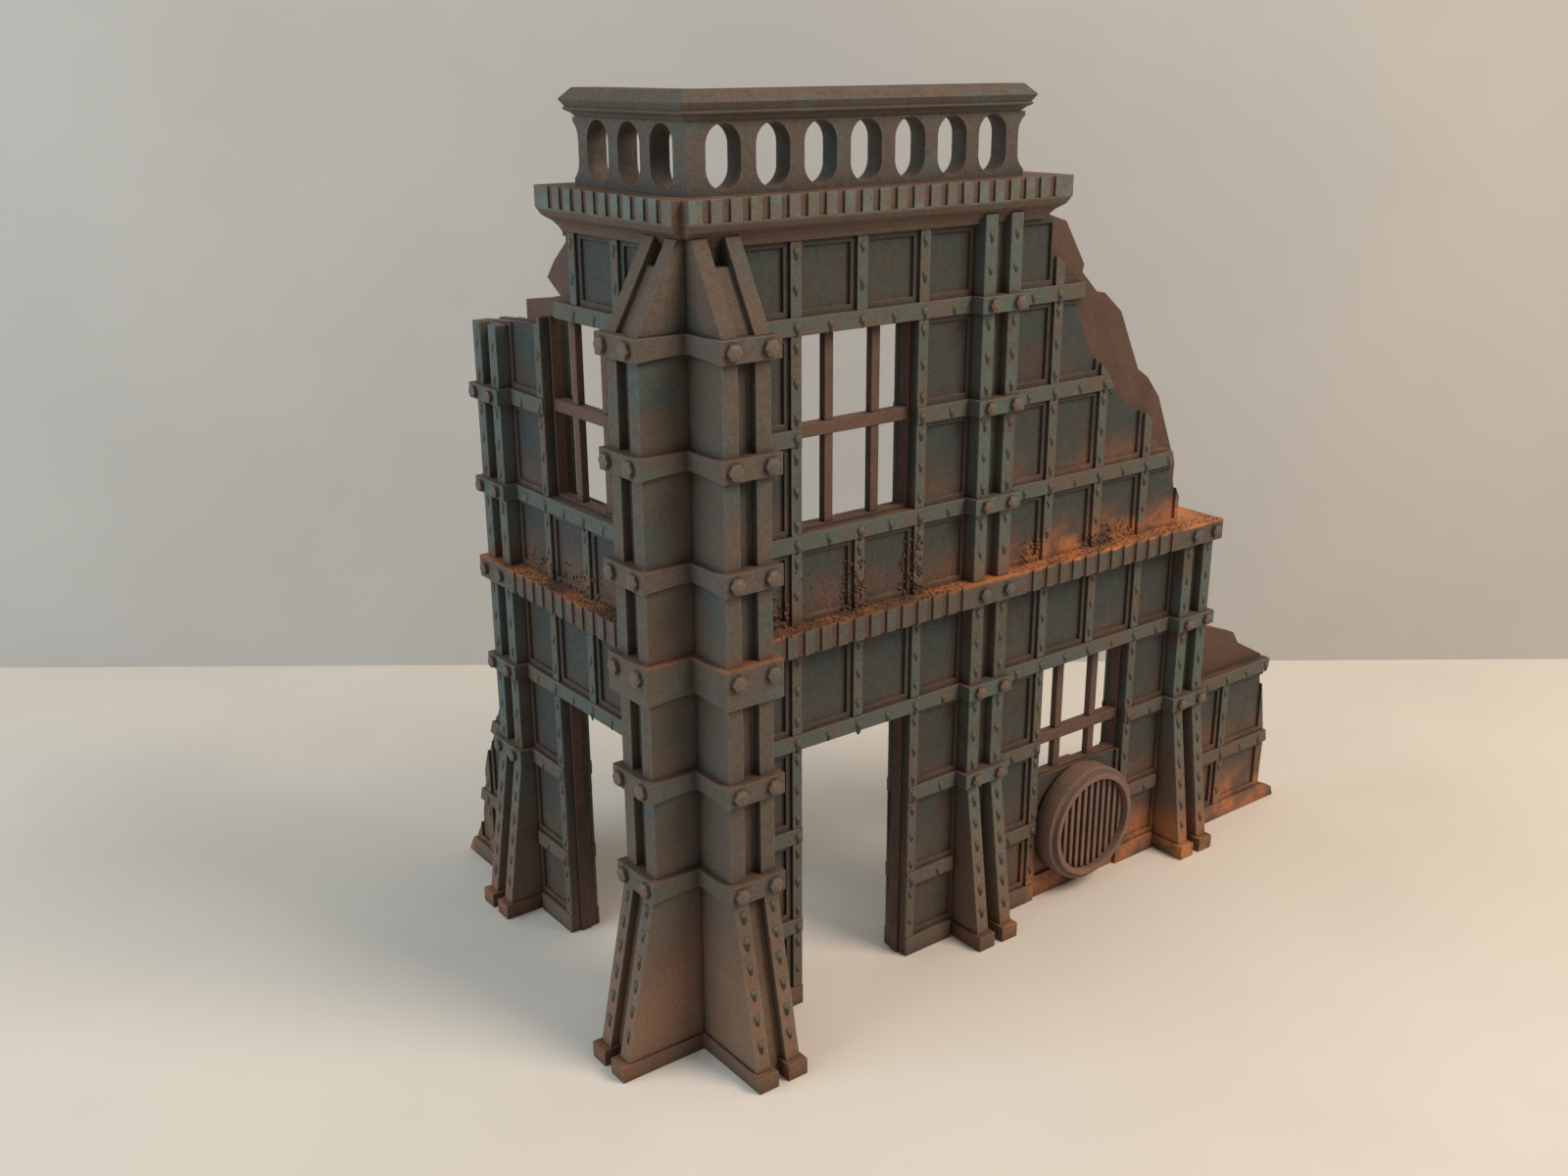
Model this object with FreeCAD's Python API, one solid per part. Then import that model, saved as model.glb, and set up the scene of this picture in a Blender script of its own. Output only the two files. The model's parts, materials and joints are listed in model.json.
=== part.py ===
import FreeCAD, Part
import math
import os

# Two-storey corner ruin for tabletop games, built as a kit of pieces. All sizes are millimetres.
# The front wall runs along +X and the side wall along +Y. The origin is on the ground, at the
# centre of the square corner post that both walls meet.
#
# Every wall piece is drawn in wall coordinates: x is the distance s along the wall from the
# building's outer corner, y is the depth d in from the outermost face of the rails, z is up.
# Side-wall pieces are drawn the same way and then have x and y swapped.

V = FreeCAD.Vector

# ---- heights
LEVEL = 25.4            # from the top of one rail to the top of the next
RAIL = 4.1              # height of a rail
BASE_RAIL = 5.5         # height of the skirting rail on the ground
SEAM_BELOW = 3.0        # the storeys part this far below level 4
LEDGE_ABOVE = 3.05      # the storey ledge stands this far above level 4
TOP_PANEL = 17.0        # from level 7 to the underside of the cornice moulding
CORNICE = 4.9           # height of the toothed cornice
SILL_LEVELS = 1.5       # sill of the ground-storey window
SIDE_PILASTER_LEVELS = 6.64     # the side wall's upper pilaster is broken off here

# ---- wall layers, from the outside in
TRIM = 1.2              # rails stand this proud of the facing
STUD_OUT = 0.9          # studs stand this proud of the facing
SKIN = 1.9              # facing and lining sheets
CORE = 3.0              # plain slab in the middle
POCKET = 0.9            # depth of each panel's recess in its sheet
BORDER = 1.4            # flat margin left round each recess
JAMB_LIP = 0.7          # the core shows this much inside each door and window

# ---- bays, studs and openings
PIER_PITCH = 84.6       # from one pier to the next along a wall
PIER_WIDTH = 12.7
STUD_SHARE = 0.267      # stud pitch as a share of the clear bay
STUD = 3.0              # width of a stud
BAR = 2.6               # width of an upright window bar
CROSS_BAR = 3.2         # height of a cross bar
BAR_SHARE = 0.74        # spread of the two upright bars as a share of the stud pitch
BAR_THICK = 2.1         # cross bars are as thick as the core

# ---- corner buttresses
FLANGE = 4.1            # width of each of a pier's two flanges
BUTTRESS_OUT = 12.7
BUTTRESS_FOOT = 22.9    # how far the flange stands out on the ground
BUTTRESS_RECESS = 2.5   # web behind the flange's face
CAP_OUT = 2.2           # how far the tapered cap stands out at its top
CAP_RECESS = 1.6        # its web behind the flange's face
CAP_POCKET = 6.0        # its web stops this far below its top
STRAP = 1.75            # thickness of a corner strap
STRAP_HEIGHT = 5.1
STRAP_ARCH = 0.8        # rise of a strap's arched underside
STOREY_STRAP_BELOW = 6.35

# ---- wall pilasters
PILASTER_OUT = 2.5
PILASTER_FOOT = 9.6
PILASTER_WEB = 0.8
BAND = 1.5              # a pilaster band stands this proud of the flanges
FLARE_LEVELS = 2        # feet flare below this level

# ---- plinth blocks under the flanges
PLINTH_HEIGHT = 4.3
PLINTH_OUT = 1.3
PLINTH_SIDE = 0.8

# ---- bolts
BOLT_FLATS = 3.3
BOLT_HEIGHT = 1.1
BOLT_EDGE = 3.3         # bolt centre from the edge of its strap
PILASTER_BOLT_FLATS = 2.9

# ---- storey ledge and cornice
LEDGE_OUT = 4.4
CORNICE_OUT = 4.6
CORNICE_NOTCH = 1.8
TOOTH_PITCH = 5.1
TOOTH_GAP = 2.1
TOOTH_DEPTH = 0.6
COVE_SECTION = [(0.0, 0.2), (1.2, 0.8), (2.4, 1.8), (3.7, 3.6),
                (5.6, 4.6)]     # height above the wall, overhang
PIER_RISE = 2.4         # the piers' tops stand this far up into the cove
FRONT_CORNICE_PITCHES = 1.3216  # the cornice is broken off this many pier pitches along each wall
SIDE_CORNICE_PITCHES = 0.6608
PIER_END = 1.5          # walls run this far past their last full-height pier
FRONT_FOOT_PITCHES = 2.6        # and their feet, in pier pitches
SIDE_FOOT_PITCHES = 1.466

# ---- tenons that locate the upper storey
TENON_LENGTH = 12.0
TENON_RISE = 5.0
TENON_CLEARANCE = 0.3

# ---- balustrade
BALUSTRADE_FACE = 2.5   # depth of its outer face
BALUSTRADE_THICK = 5.1
BALUSTRADE_HEIGHT = 15.1
OVAL_START = 7.4
OVAL_WIDTH = 9.1
OVAL_HEIGHT = 13.8
OVAL_PITCH = 13.1
OVAL_LIFT = 0.9         # above the cornice
END_FLARE = 2.2         # the last post spreads this far at its foot and head
CAP_SECTION = [(0.0, 0.3), (1.0, 1.3), (1.6, 2.4), (2.1, 2.5), (2.1, 2.0), (3.9, 3.2),
               (6.4, 0.8)]      # height above the balustrade, overhang

# ---- round drain grille
DRAIN_FOOT = 4.3        # its lowest point above the ground
DRAIN_LAP = 0.6         # its highest point above the sill
DRAIN_GAP = 0.3         # between the ring and the studs' edges
DRAIN_RIM = 3.2         # width of the ring
DRAIN_STEP = 1.6
DRAIN_OUT = 7.6
DRAIN_FLOOR = 4.5
SLATS = 11
SLAT_WIDTH = 1.3
SLAT_RISE = 1.3
SLAT_CLEARANCE = 0.2    # between a slat's ends and the bore

# ---- worked out from the sizes above
WALL = 2 * (TRIM + SKIN) + CORE
WALL_TOP = 7 * LEVEL + TOP_PANEL
SILL = SILL_LEVELS * LEVEL
SIDE_PILASTER_TOP = SIDE_PILASTER_LEVELS * LEVEL
STUD_PITCH = STUD_SHARE * (PIER_PITCH - PIER_WIDTH)
BAR_SPREAD = BAR_SHARE * STUD_PITCH
SEAM = 4 * LEVEL - SEAM_BELOW
LEDGE_TOP = 4 * LEVEL + LEDGE_ABOVE
STRAP_TOP = 7 * LEVEL
FLARE_TOP = FLARE_LEVELS * LEVEL
LINTEL = 3 * LEVEL - RAIL
UPPER_SILL = 5 * LEVEL
UPPER_LINTEL = 7 * LEVEL - RAIL
CORE_FACE = TRIM + SKIN
LINING_FACE = CORE_FACE + CORE
PIER_TOP = WALL_TOP + PIER_RISE
CORNICE_BASE = WALL_TOP + COVE_SECTION[-1][0]
CORNICE_TOP = CORNICE_BASE + CORNICE
BALUSTRADE_BACK = BALUSTRADE_FACE + BALUSTRADE_THICK
HALF_OPENING = STUD_PITCH - STUD / 2
PIER_1 = PIER_PITCH
PIER_2 = 2 * PIER_PITCH
FRONT_END = PIER_2 + PIER_WIDTH + PIER_END
SIDE_END = PIER_1 + PIER_WIDTH + PIER_END
BAY_1 = (PIER_PITCH + PIER_WIDTH) / 2
BAY_2 = BAY_1 + PIER_PITCH
CORNICE_FRONT_END = FRONT_CORNICE_PITCHES * PIER_PITCH
CORNICE_SIDE_END = SIDE_CORNICE_PITCHES * PIER_PITCH
FRONT_OVALS = int((CORNICE_FRONT_END - CORNICE_OUT - OVAL_START) / OVAL_PITCH)
SIDE_OVALS = int((CORNICE_SIDE_END - CORNICE_OUT - OVAL_START) / OVAL_PITCH)
DRAIN_RADIUS = min(HALF_OPENING - DRAIN_GAP, (SILL + DRAIN_LAP - DRAIN_FOOT) / 2)
DRAIN_HEIGHT = DRAIN_FOOT + DRAIN_RADIUS
DRAIN_BORE = DRAIN_RADIUS - DRAIN_RIM
PAST = 1.0              # a cutter runs this far past what it cuts


# ---- broken edges: points (pier pitches along, levels up) from the bottom of each wall upwards
def scaled(points):
    return [(along * PIER_PITCH, up * LEVEL) for along, up in points]


FRONT_LOWER_SKIN_EDGE = scaled([(2.702, 0), (2.688, 0.13), (2.618, 0.24), (2.624, 0.87),
                                (2.608, 1.18), (2.579, 1.73), (2.597, 2)]) + [(FRONT_END, 2 * LEVEL)]
FRONT_LOWER_CORE_EDGE = scaled([(2.612, 0), (2.612, 0.87), (2.586, 1.30), (2.567, 1.79),
                                (2.591, 2.02), (2.440, 2.29), (2.408, 2.45),
                                (2.273, 2.62)]) + [(FRONT_END, 2.685 * LEVEL)]
FRONT_UPPER_SKIN_EDGE = scaled([(2.002, 4.43), (1.963, 4.66), (1.934, 5), (1.877, 5.12),
                                (1.831, 5.38), (1.792, 5.48), (1.714, 5.63), (1.624, 5.83),
                                (1.593, 6), (1.534, 6.21), (1.463, 6.67), (1.459, 7),
                                (1.387, 7.17), (1.318, 7.31)])
FRONT_UPPER_CORE_EDGE = scaled([(2.018, 4.15), (1.991, 4.63), (1.993, 4.80), (1.885, 5.62),
                                (1.823, 5.86), (1.772, 5.97), (1.673, 6.62), (1.591, 6.84),
                                (1.558, 6.85), (1.483, 7.08), (1.489, 7.16), (1.400, 7.61),
                                (1.322, 7.69)])
SIDE_LOWER_SKIN_EDGE = scaled([(1.531, 0), (1.518, 0.09), (1.456, 0.39), (1.417, 0.79),
                               (1.348, 1.43), (1.246, 2.20)]) + [(SIDE_END, 2.76 * LEVEL)]
SIDE_LOWER_CORE_EDGE = scaled([(1.483, 0), (1.473, 0.55), (1.436, 0.96), (1.374, 1.50),
                               (1.284, 2.13), (1.229, 2.60)]) + [(SIDE_END, 2.89 * LEVEL)]
SIDE_UPPER_SKIN_EDGE = [(SIDE_END, 6.63 * LEVEL)] + scaled([(0.798, 6.73), (0.798, 6.80),
                                                            (0.688, 6.80), (0.688, 7),
                                                            (0.637, 7.02)])
SIDE_UPPER_CORE_EDGE = scaled([(1.158, 6.62), (0.916, 6.68), (0.916, 6.92), (0.784, 6.98),
                               (0.708, 7.03), (0.780, 7.18), (0.735, 7.35), (0.661, 7.55)])


# ---- basic shapes
def box(s0, s1, d0, d1, z0, z1):
    return Part.makeBox(s1 - s0, d1 - d0, z1 - z0, V(s0, d0, z0))


def prism(points, direction):
    wire = Part.makePolygon(points + points[:1])
    return Part.Face(wire).extrude(direction)


def wall_sheet(outline, d0, d1):
    return prism([V(s, d0, z) for s, z in outline], V(0, d1 - d0, 0))


def profile(outline, s0, s1):
    return prism([V(s0, d, z) for d, z in outline], V(s1 - s0, 0, 0))


def plan(outline, z0, z1):
    return prism([V(x, y, z0) for x, y in outline], V(0, 0, z1 - z0))


def swap(shape):
    return shape.mirror(V(0, 0, 0), V(1, -1, 0))


def both_sides(build):
    """The same pieces on the front wall and, swapped, on the side wall."""
    pieces = build()
    return pieces + [swap(piece) for piece in pieces]


def save(name, shapes):
    """Write one node, moved so that the corner post's centre is the origin."""
    solids = [solid for shape in shapes for solid in shape.Solids]
    shape = solids[0] if len(solids) == 1 else Part.makeCompound(solids)
    shape.translate(V(-WALL / 2, -WALL / 2, 0))
    shape.exportStep("parts/" + name + ".step")


# ---- wall layout
class Wall:
    """One storey of one wall: its outlines, openings, rows and bays."""

    def __init__(self, bottom, top, skin_edge, core_edge, openings, levels, piers, end, gaps):
        self.bottom = bottom
        self.top = top
        self.skin = self.outline(skin_edge)
        self.core = self.outline(core_edge)
        self.openings = openings
        self.levels = levels
        self.piers = piers
        self.end = end
        self.gaps = gaps

    def outline(self, edge):
        """The broken edge, run straight down and up to the ends of the storey."""
        first, last = edge[0], edge[-1]
        foot = [(first[0], self.bottom)] if first[1] > self.bottom else []
        return [(WALL, self.bottom)] + foot + edge + [(last[0], self.top), (WALL, self.top)]

    def bays(self):
        """Start and end of each run between piers."""
        starts = [PIER_WIDTH] + [pier + PIER_WIDTH for pier in self.piers]
        ends = self.piers + [self.end]
        return [(start, end) for start, end in zip(starts, ends) if end - start > STUD_PITCH / 2]

    def studs(self):
        """Centre line of each stud."""
        found = []
        for start, _ in self.bays():
            middle = start + (PIER_PITCH - PIER_WIDTH) / 2
            found += [middle - STUD_PITCH, middle, middle + STUD_PITCH]
        return [s for s in found if s < self.end - STUD]

    def rows(self):
        """Bottom and top of each row of panels."""
        bottoms = [self.bottom + (BASE_RAIL if self.bottom == 0 else 0)]
        bottoms += [level * LEVEL for level in self.levels]
        tops = [level * LEVEL - RAIL for level in self.levels] + [self.top]
        return list(zip(bottoms, tops))

    def sheet(self, outline, d0, d1, lip):
        shape = wall_sheet(outline, d0, d1)
        for s0, s1, z0, z1 in self.openings:
            foot = z0 + lip if z0 > 0 else -PAST
            shape = shape.cut(box(s0 + lip, s1 - lip, d0 - PAST, d1 + PAST, foot, z1 - lip))
        return shape

    def pockets(self, d0, d1):
        """The recess of every panel."""
        cells = []
        for start, end in self.bays():
            edges = [start - STUD / 2] + [s for s in self.studs() if start < s < end] + [end + STUD / 2]
            for s0, s1 in zip(edges, edges[1:]):
                for z0, z1 in self.rows():
                    margin = STUD / 2 + BORDER
                    if s1 - s0 > 2 * margin + BORDER:
                        cells.append(box(s0 + margin, s1 - margin, d0, d1, z0 + BORDER, z1 - BORDER))
        return Part.makeCompound(cells)

    def facing(self):
        sheet = self.sheet(self.skin, TRIM, CORE_FACE, 0)
        return sheet.cut(self.pockets(TRIM - PAST, TRIM + POCKET))

    def lining(self):
        sheet = self.sheet(self.skin, LINING_FACE, LINING_FACE + SKIN, 0)
        return sheet.cut(self.pockets(WALL - TRIM - POCKET, WALL))

    def slab(self):
        return self.sheet(self.core, CORE_FACE, LINING_FACE, JAMB_LIP)

    def trim(self, pieces, d0, d1):
        """Keep what lies on the facing, outside openings and gaps."""
        area = self.sheet(self.skin, d0, d1, 0)
        for s0, s1, z0, z1 in self.gaps:
            area = area.cut(box(s0, s1, d0 - PAST, d1 + PAST, z0, z1))
        return [solid for piece in pieces for solid in piece.common(area).Solids]

    def rail_heights(self):
        heights = [(level * LEVEL - RAIL, level * LEVEL) for level in self.levels]
        return ([(0, BASE_RAIL)] if self.bottom == 0 else []) + heights

    def outer_rails(self):
        pieces = []
        for start, end in self.bays():
            first = start + (STRAP if start == PIER_WIDTH else BAND)
            last = end - BAND if end in self.piers else end + LEVEL * 2
            pieces += [box(first, last, 0, TRIM, z0, z1) for z0, z1 in self.rail_heights()]
        return self.trim(pieces, 0, TRIM)

    def outer_studs(self):
        pieces = [box(s - STUD / 2, s + STUD / 2, TRIM - STUD_OUT, TRIM, z0, z1)
                  for s in self.studs() for z0, z1 in self.rows()]
        return self.trim(pieces, TRIM - STUD_OUT, TRIM)

    def inner_frame(self):
        rails = [box(WALL, self.end + LEVEL * 2, WALL - TRIM, WALL, z0, z1)
                 for z0, z1 in self.rail_heights()]
        lines = self.studs() + [pier + PIER_WIDTH / 2 for pier in self.piers]
        studs = [box(s - STUD / 2, s + STUD / 2, WALL - TRIM, WALL - TRIM + STUD_OUT, z0, z1)
                 for s in lines for z0, z1 in self.rows()]
        return (self.trim(rails, WALL - TRIM, WALL)
                + self.trim(studs, WALL - TRIM, WALL - TRIM + STUD_OUT))


def opening(middle, z0, z1):
    return (middle - HALF_OPENING, middle + HALF_OPENING, z0, z1)


DRAIN_PANEL = (BAY_2 - HALF_OPENING, BAY_2 + HALF_OPENING, 0, SILL)

FRONT_LOWER = Wall(0, SEAM, FRONT_LOWER_SKIN_EDGE, FRONT_LOWER_CORE_EDGE,
                   [opening(BAY_1, 0, LINTEL), opening(BAY_2, SILL, LINTEL)],
                   [1, 2, 3], [PIER_1, PIER_2], FRONT_FOOT_PITCHES * PIER_PITCH, [DRAIN_PANEL])
SIDE_LOWER = Wall(0, SEAM, SIDE_LOWER_SKIN_EDGE, SIDE_LOWER_CORE_EDGE,
                  [opening(BAY_1, 0, LINTEL)],
                  [1, 2, 3], [PIER_1], SIDE_FOOT_PITCHES * PIER_PITCH, [])
FRONT_UPPER = Wall(LEDGE_TOP, WALL_TOP, FRONT_UPPER_SKIN_EDGE, FRONT_UPPER_CORE_EDGE,
                   [opening(BAY_1, UPPER_SILL, UPPER_LINTEL)], [5, 6, 7], [PIER_1], PIER_2, [])
SIDE_UPPER = Wall(LEDGE_TOP, WALL_TOP, SIDE_UPPER_SKIN_EDGE, SIDE_UPPER_CORE_EDGE,
                  [opening(BAY_1, UPPER_SILL, UPPER_LINTEL)], [5, 6, 7], [PIER_1], SIDE_END, [])


# ---- piers
def outer_line(z0, z1, foot, out):
    """Points (d, z) up the outer face of a pier that flares below the flare's top."""
    def reach(z):
        return out + (foot - out) * max(0.0, 1 - z / FLARE_TOP)
    heights = [z0] + ([FLARE_TOP] if z0 < FLARE_TOP < z1 else []) + [z1]
    return [(-reach(z), z) for z in heights]


def channel(s0, line, root, web_recess, web_root):
    """Two flanges joined by a recessed web."""
    bottom, top = line[0][1], line[-1][1]
    flange = line + [(root, top), (root, bottom)]
    web = [(d + web_recess, z) for d, z in line] + [(web_root, top), (web_root, bottom)]
    first = profile(flange, s0, s0 + FLANGE)
    last = profile(flange, s0 + PIER_WIDTH - FLANGE, s0 + PIER_WIDTH)
    middle = profile(web, s0 + FLANGE, s0 + PIER_WIDTH - FLANGE)
    return first.fuse([middle, last]).removeSplitter()


def buttress(z0, z1):
    """Channel with a heel behind it that meets the facing; the storey ledge passes under the heel."""
    shape = channel(0, outer_line(z0, z1, BUTTRESS_FOOT, BUTTRESS_OUT), 0, BUTTRESS_RECESS, 0)
    heel = LEDGE_TOP if z0 == SEAM else z0
    return shape.fuse(box(WALL, PIER_WIDTH, 0, TRIM, heel, z1)).removeSplitter()


def buttress_cap(z0, z1):
    line = [(-BUTTRESS_OUT, z0), (-CAP_OUT, z1)]
    share = 1 - CAP_POCKET / (z1 - z0)
    web_out = BUTTRESS_OUT - CAP_RECESS - share * (BUTTRESS_OUT - CAP_OUT)
    recessed = [(-BUTTRESS_OUT + CAP_RECESS, z0), (-web_out, z1 - CAP_POCKET), (0, z1 - CAP_POCKET)]
    first = profile(line + [(0, z1), (0, z0)], 0, FLANGE)
    last = profile(line + [(0, z1), (0, z0)], PIER_WIDTH - FLANGE, PIER_WIDTH)
    web = profile(recessed + [(0, z0)], FLANGE, PIER_WIDTH - FLANGE)
    heel = box(WALL, PIER_WIDTH, 0, TRIM, z0, z1 - PIER_RISE)
    return first.fuse([web, last, heel]).removeSplitter()


def pilaster(s0, z0, z1):
    flange = outer_line(z0, z1, PILASTER_FOOT, PILASTER_OUT) + [(TRIM, z1), (TRIM, z0)]
    web = box(s0 + FLANGE, s0 + PIER_WIDTH - FLANGE, TRIM - PILASTER_WEB, TRIM, z0,
              min(z1, WALL_TOP))
    first = profile(flange, s0, s0 + FLANGE)
    last = profile(flange, s0 + PIER_WIDTH - FLANGE, s0 + PIER_WIDTH)
    return first.fuse([web, last]).removeSplitter()


def plinth(start, foot, back, pier):
    """A block round the toe of one flange that runs back along both its sides."""
    block = box(start - PLINTH_SIDE, start + FLANGE + PLINTH_SIDE, -foot - PLINTH_OUT, back,
                0, PLINTH_HEIGHT)
    return block.cut(pier)


def pilaster_plinths(s0):
    pier = pilaster(s0, 0, SEAM)
    return [plinth(start, PILASTER_FOOT, TRIM, pier) for start in (s0, s0 + PIER_WIDTH - FLANGE)]


def buttress_plinths():
    """The two blocks next to the corner meet in the angle between the buttresses."""
    feet = buttress(0, FLARE_TOP).fuse(box(0, WALL, 0, WALL, 0, FLARE_TOP))
    near = plinth(0, BUTTRESS_FOOT, 0, feet)
    far = plinth(PIER_WIDTH - FLANGE, BUTTRESS_FOOT, TRIM, feet)
    return [near.fuse(swap(near)).cut([feet, swap(feet)]), far, swap(far)]


# ---- straps, bands and bolts
def corner_strap(z0, z1, piers, arched):
    reach, out = PIER_WIDTH + STRAP, BUTTRESS_OUT + STRAP
    outline = [(reach, 0), (reach, -out), (-STRAP, -out), (-STRAP, -STRAP), (-out, -STRAP),
               (-out, reach), (0, reach), (0, 0)]
    strap = plan(outline, z0, z1)
    for pier in piers:
        strap = strap.cut(pier)
    if arched:
        radius = (BUTTRESS_OUT ** 2 + STRAP_ARCH ** 2) / (2 * STRAP_ARCH)
        strap = strap.cut(Part.makeSphere(radius, V(-STRAP, -STRAP, z0 + STRAP_ARCH - radius)))
    return strap


def pilaster_band(s0, z0, z1, pier):
    out = PILASTER_OUT + BAND
    band = box(s0 - BAND, s0 + PIER_WIDTH + BAND, -out, TRIM, z0, z1)
    return band.cut(pier)


def bolt(s, d, z, flats):
    """Hexagon bolt head on a face that looks towards -y."""
    radius = flats / math.sqrt(3)
    corners = [V(s + radius * math.cos(math.radians(60 * k)), d,
                 z + radius * math.sin(math.radians(60 * k))) for k in range(6)]
    head = prism(corners, V(0, -BOLT_HEIGHT, 0))
    washer = Part.makeCone(flats / 2, flats / 4, BOLT_HEIGHT / 3, V(s, d - BOLT_HEIGHT, z), V(0, -1, 0))
    return head.fuse(washer)


def strap_bolts(heights):
    face = -(BUTTRESS_OUT + STRAP)
    places = [BOLT_EDGE - STRAP, PIER_WIDTH + STRAP - BOLT_EDGE]
    return [bolt(s, face, z, BOLT_FLATS) for z in heights for s in places]


def band_bolts(s0, heights, out):
    places = [s0 + FLANGE / 2, s0 + PIER_WIDTH - FLANGE / 2]
    return [bolt(s, -out, z, PILASTER_BOLT_FLATS) for z in heights for s in places]


# ---- L-shaped courses
def course(face, back, front_end, side_end, overhang, notch):
    """Plan of a course that follows both walls, grown outwards by its overhang."""
    outer, inner = face - overhang, back + overhang
    front, side = front_end + overhang, side_end + overhang
    corner = [(outer, outer)]
    if notch:
        inset = face - notch
        corner = [(outer, inset), (inset, inset), (inset, outer)]
    return [(front, outer), (front, inner), (inner, inner), (inner, side), (outer, side)] + corner


def moulding(sections, face, back, front_end, side_end, notch_share):
    """Loft a course through (height, overhang) pairs."""
    wires = []
    for z, overhang in sections:
        points = course(face, back, front_end, side_end, overhang, overhang * notch_share)
        corners = [V(x, y, z) for x, y in points]
        wires.append(Part.makePolygon(corners + corners[:1]))
    return Part.makeLoft(wires, True, True)


def tooth_slots(start, end, edge, depth, z0, z1, skips):
    """Gaps between teeth along an edge that faces -y when depth is positive."""
    slots = []
    count = int((end - start) / TOOTH_PITCH)
    for k in range(count):
        s0 = start + k * TOOTH_PITCH + (TOOTH_PITCH - TOOTH_GAP) / 2
        s1 = s0 + TOOTH_GAP
        if all(s1 < low or s0 > high for low, high in skips):
            slots.append(box(s0, s1, min(edge, edge + depth), max(edge, edge + depth), z0, z1))
    return slots


def tenon(middle, clearance):
    half = TENON_LENGTH / 2 + clearance
    rise = TENON_RISE if clearance == 0 else LEDGE_TOP - SEAM
    return box(middle - half, middle + half, CORE_FACE - clearance + TENON_CLEARANCE,
               LINING_FACE + clearance - TENON_CLEARANCE, SEAM, SEAM + rise)


def storey_ledge():
    """The L-shaped course between the storeys: it stands on the lower walls."""
    clear = PIER_WIDTH + STRAP
    outer = [box(clear, FRONT_END, -LEDGE_OUT, 0, SEAM, LEDGE_TOP)]
    outer += [swap(box(clear, SIDE_END, -LEDGE_OUT, 0, SEAM, LEDGE_TOP))]
    inner = WALL + LEDGE_OUT
    outline = [(0, 0), (FRONT_END, 0), (FRONT_END, inner), (inner, inner), (inner, SIDE_END),
               (0, SIDE_END)]
    ledge = plan(outline, SEAM, LEDGE_TOP).fuse(outer).removeSplitter()
    margin = BAND + TOOTH_GAP
    front_skips = [(pier - margin, pier + PIER_WIDTH + margin) for pier in (PIER_1, PIER_2)]
    side_skips = [(PIER_1 - margin, PIER_1 + PIER_WIDTH + margin)]
    z0, z1 = SEAM - PAST, LEDGE_TOP + PAST
    slots = tooth_slots(clear, FRONT_END, -LEDGE_OUT - PAST, TOOTH_DEPTH + PAST, z0, z1, front_skips)
    slots += tooth_slots(inner, FRONT_END, inner + PAST, -TOOTH_DEPTH - PAST, z0, z1, [])
    side_slots = tooth_slots(clear, SIDE_END, -LEDGE_OUT - PAST, TOOTH_DEPTH + PAST, z0, z1, side_skips)
    side_slots += tooth_slots(inner, SIDE_END, inner + PAST, -TOOTH_DEPTH - PAST, z0, z1, [])
    slots += [swap(slot) for slot in side_slots]
    slots += [tenon(BAY_1, TENON_CLEARANCE), tenon(BAY_2, TENON_CLEARANCE)]
    slots += [swap(tenon(BAY_1, TENON_CLEARANCE))]
    return ledge.cut(slots)


def cornice():
    """Toothed course with a coved underside, notched at the building's corner."""
    share = CORNICE_NOTCH / CORNICE_OUT
    cove = [(WALL_TOP + up, overhang) for up, overhang in COVE_SECTION]
    front, side = CORNICE_FRONT_END - CORNICE_OUT, CORNICE_SIDE_END - CORNICE_OUT
    piers = both_sides(lambda: [buttress_cap(STRAP_TOP, PIER_TOP)])
    piers.append(pilaster(PIER_1, SEAM, PIER_TOP))
    piers.append(box(-CORNICE_OUT, 0, -CORNICE_OUT, 0, WALL_TOP, PIER_TOP))
    under = moulding(cove, 0, WALL, front, side, share).cut(piers)
    slab = plan(course(0, WALL, front, side, CORNICE_OUT, CORNICE_NOTCH), CORNICE_BASE, CORNICE_TOP)
    z0, z1 = CORNICE_BASE - PAST, CORNICE_TOP + PAST
    outer, inner = -CORNICE_OUT, WALL + CORNICE_OUT
    cuts = []
    for start, end, place in ((0, CORNICE_FRONT_END, None), (0, CORNICE_SIDE_END, swap)):
        slots = tooth_slots(start, end, outer - PAST, TOOTH_DEPTH + PAST, z0, z1, [])
        slots += tooth_slots(inner, end, inner + PAST, -TOOTH_DEPTH - PAST, z0, z1, [])
        cuts += [place(slot) for slot in slots] if place else slots
    return under.fuse(slab.cut(cuts)).removeSplitter()


# ---- balustrade
def oval(s0, z0):
    """A round-ended slot through the balustrade."""
    radius = OVAL_WIDTH / 2
    d0, depth = BALUSTRADE_FACE - PAST, BALUSTRADE_THICK + 2 * PAST
    low, high = z0 + radius, z0 + OVAL_HEIGHT - radius
    shape = box(s0, s0 + OVAL_WIDTH, d0, d0 + depth, low, high)
    for z in (low, high):
        shape = shape.fuse(Part.makeCylinder(radius, depth, V(s0 + radius, d0, z), V(0, 1, 0)))
    return shape


def last_post(ovals):
    """Where the last post's waist ends."""
    return OVAL_START + ovals * OVAL_PITCH


def balustrade(start, ovals):
    """Posts between ovals; one more oval hollows the outer side of the last post."""
    panel = box(start, last_post(ovals) + END_FLARE, BALUSTRADE_FACE, BALUSTRADE_BACK, CORNICE_TOP,
                CORNICE_TOP + BALUSTRADE_HEIGHT)
    return panel.cut([oval(last_post(k), CORNICE_TOP + OVAL_LIFT) for k in range(ovals + 1)])


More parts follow.
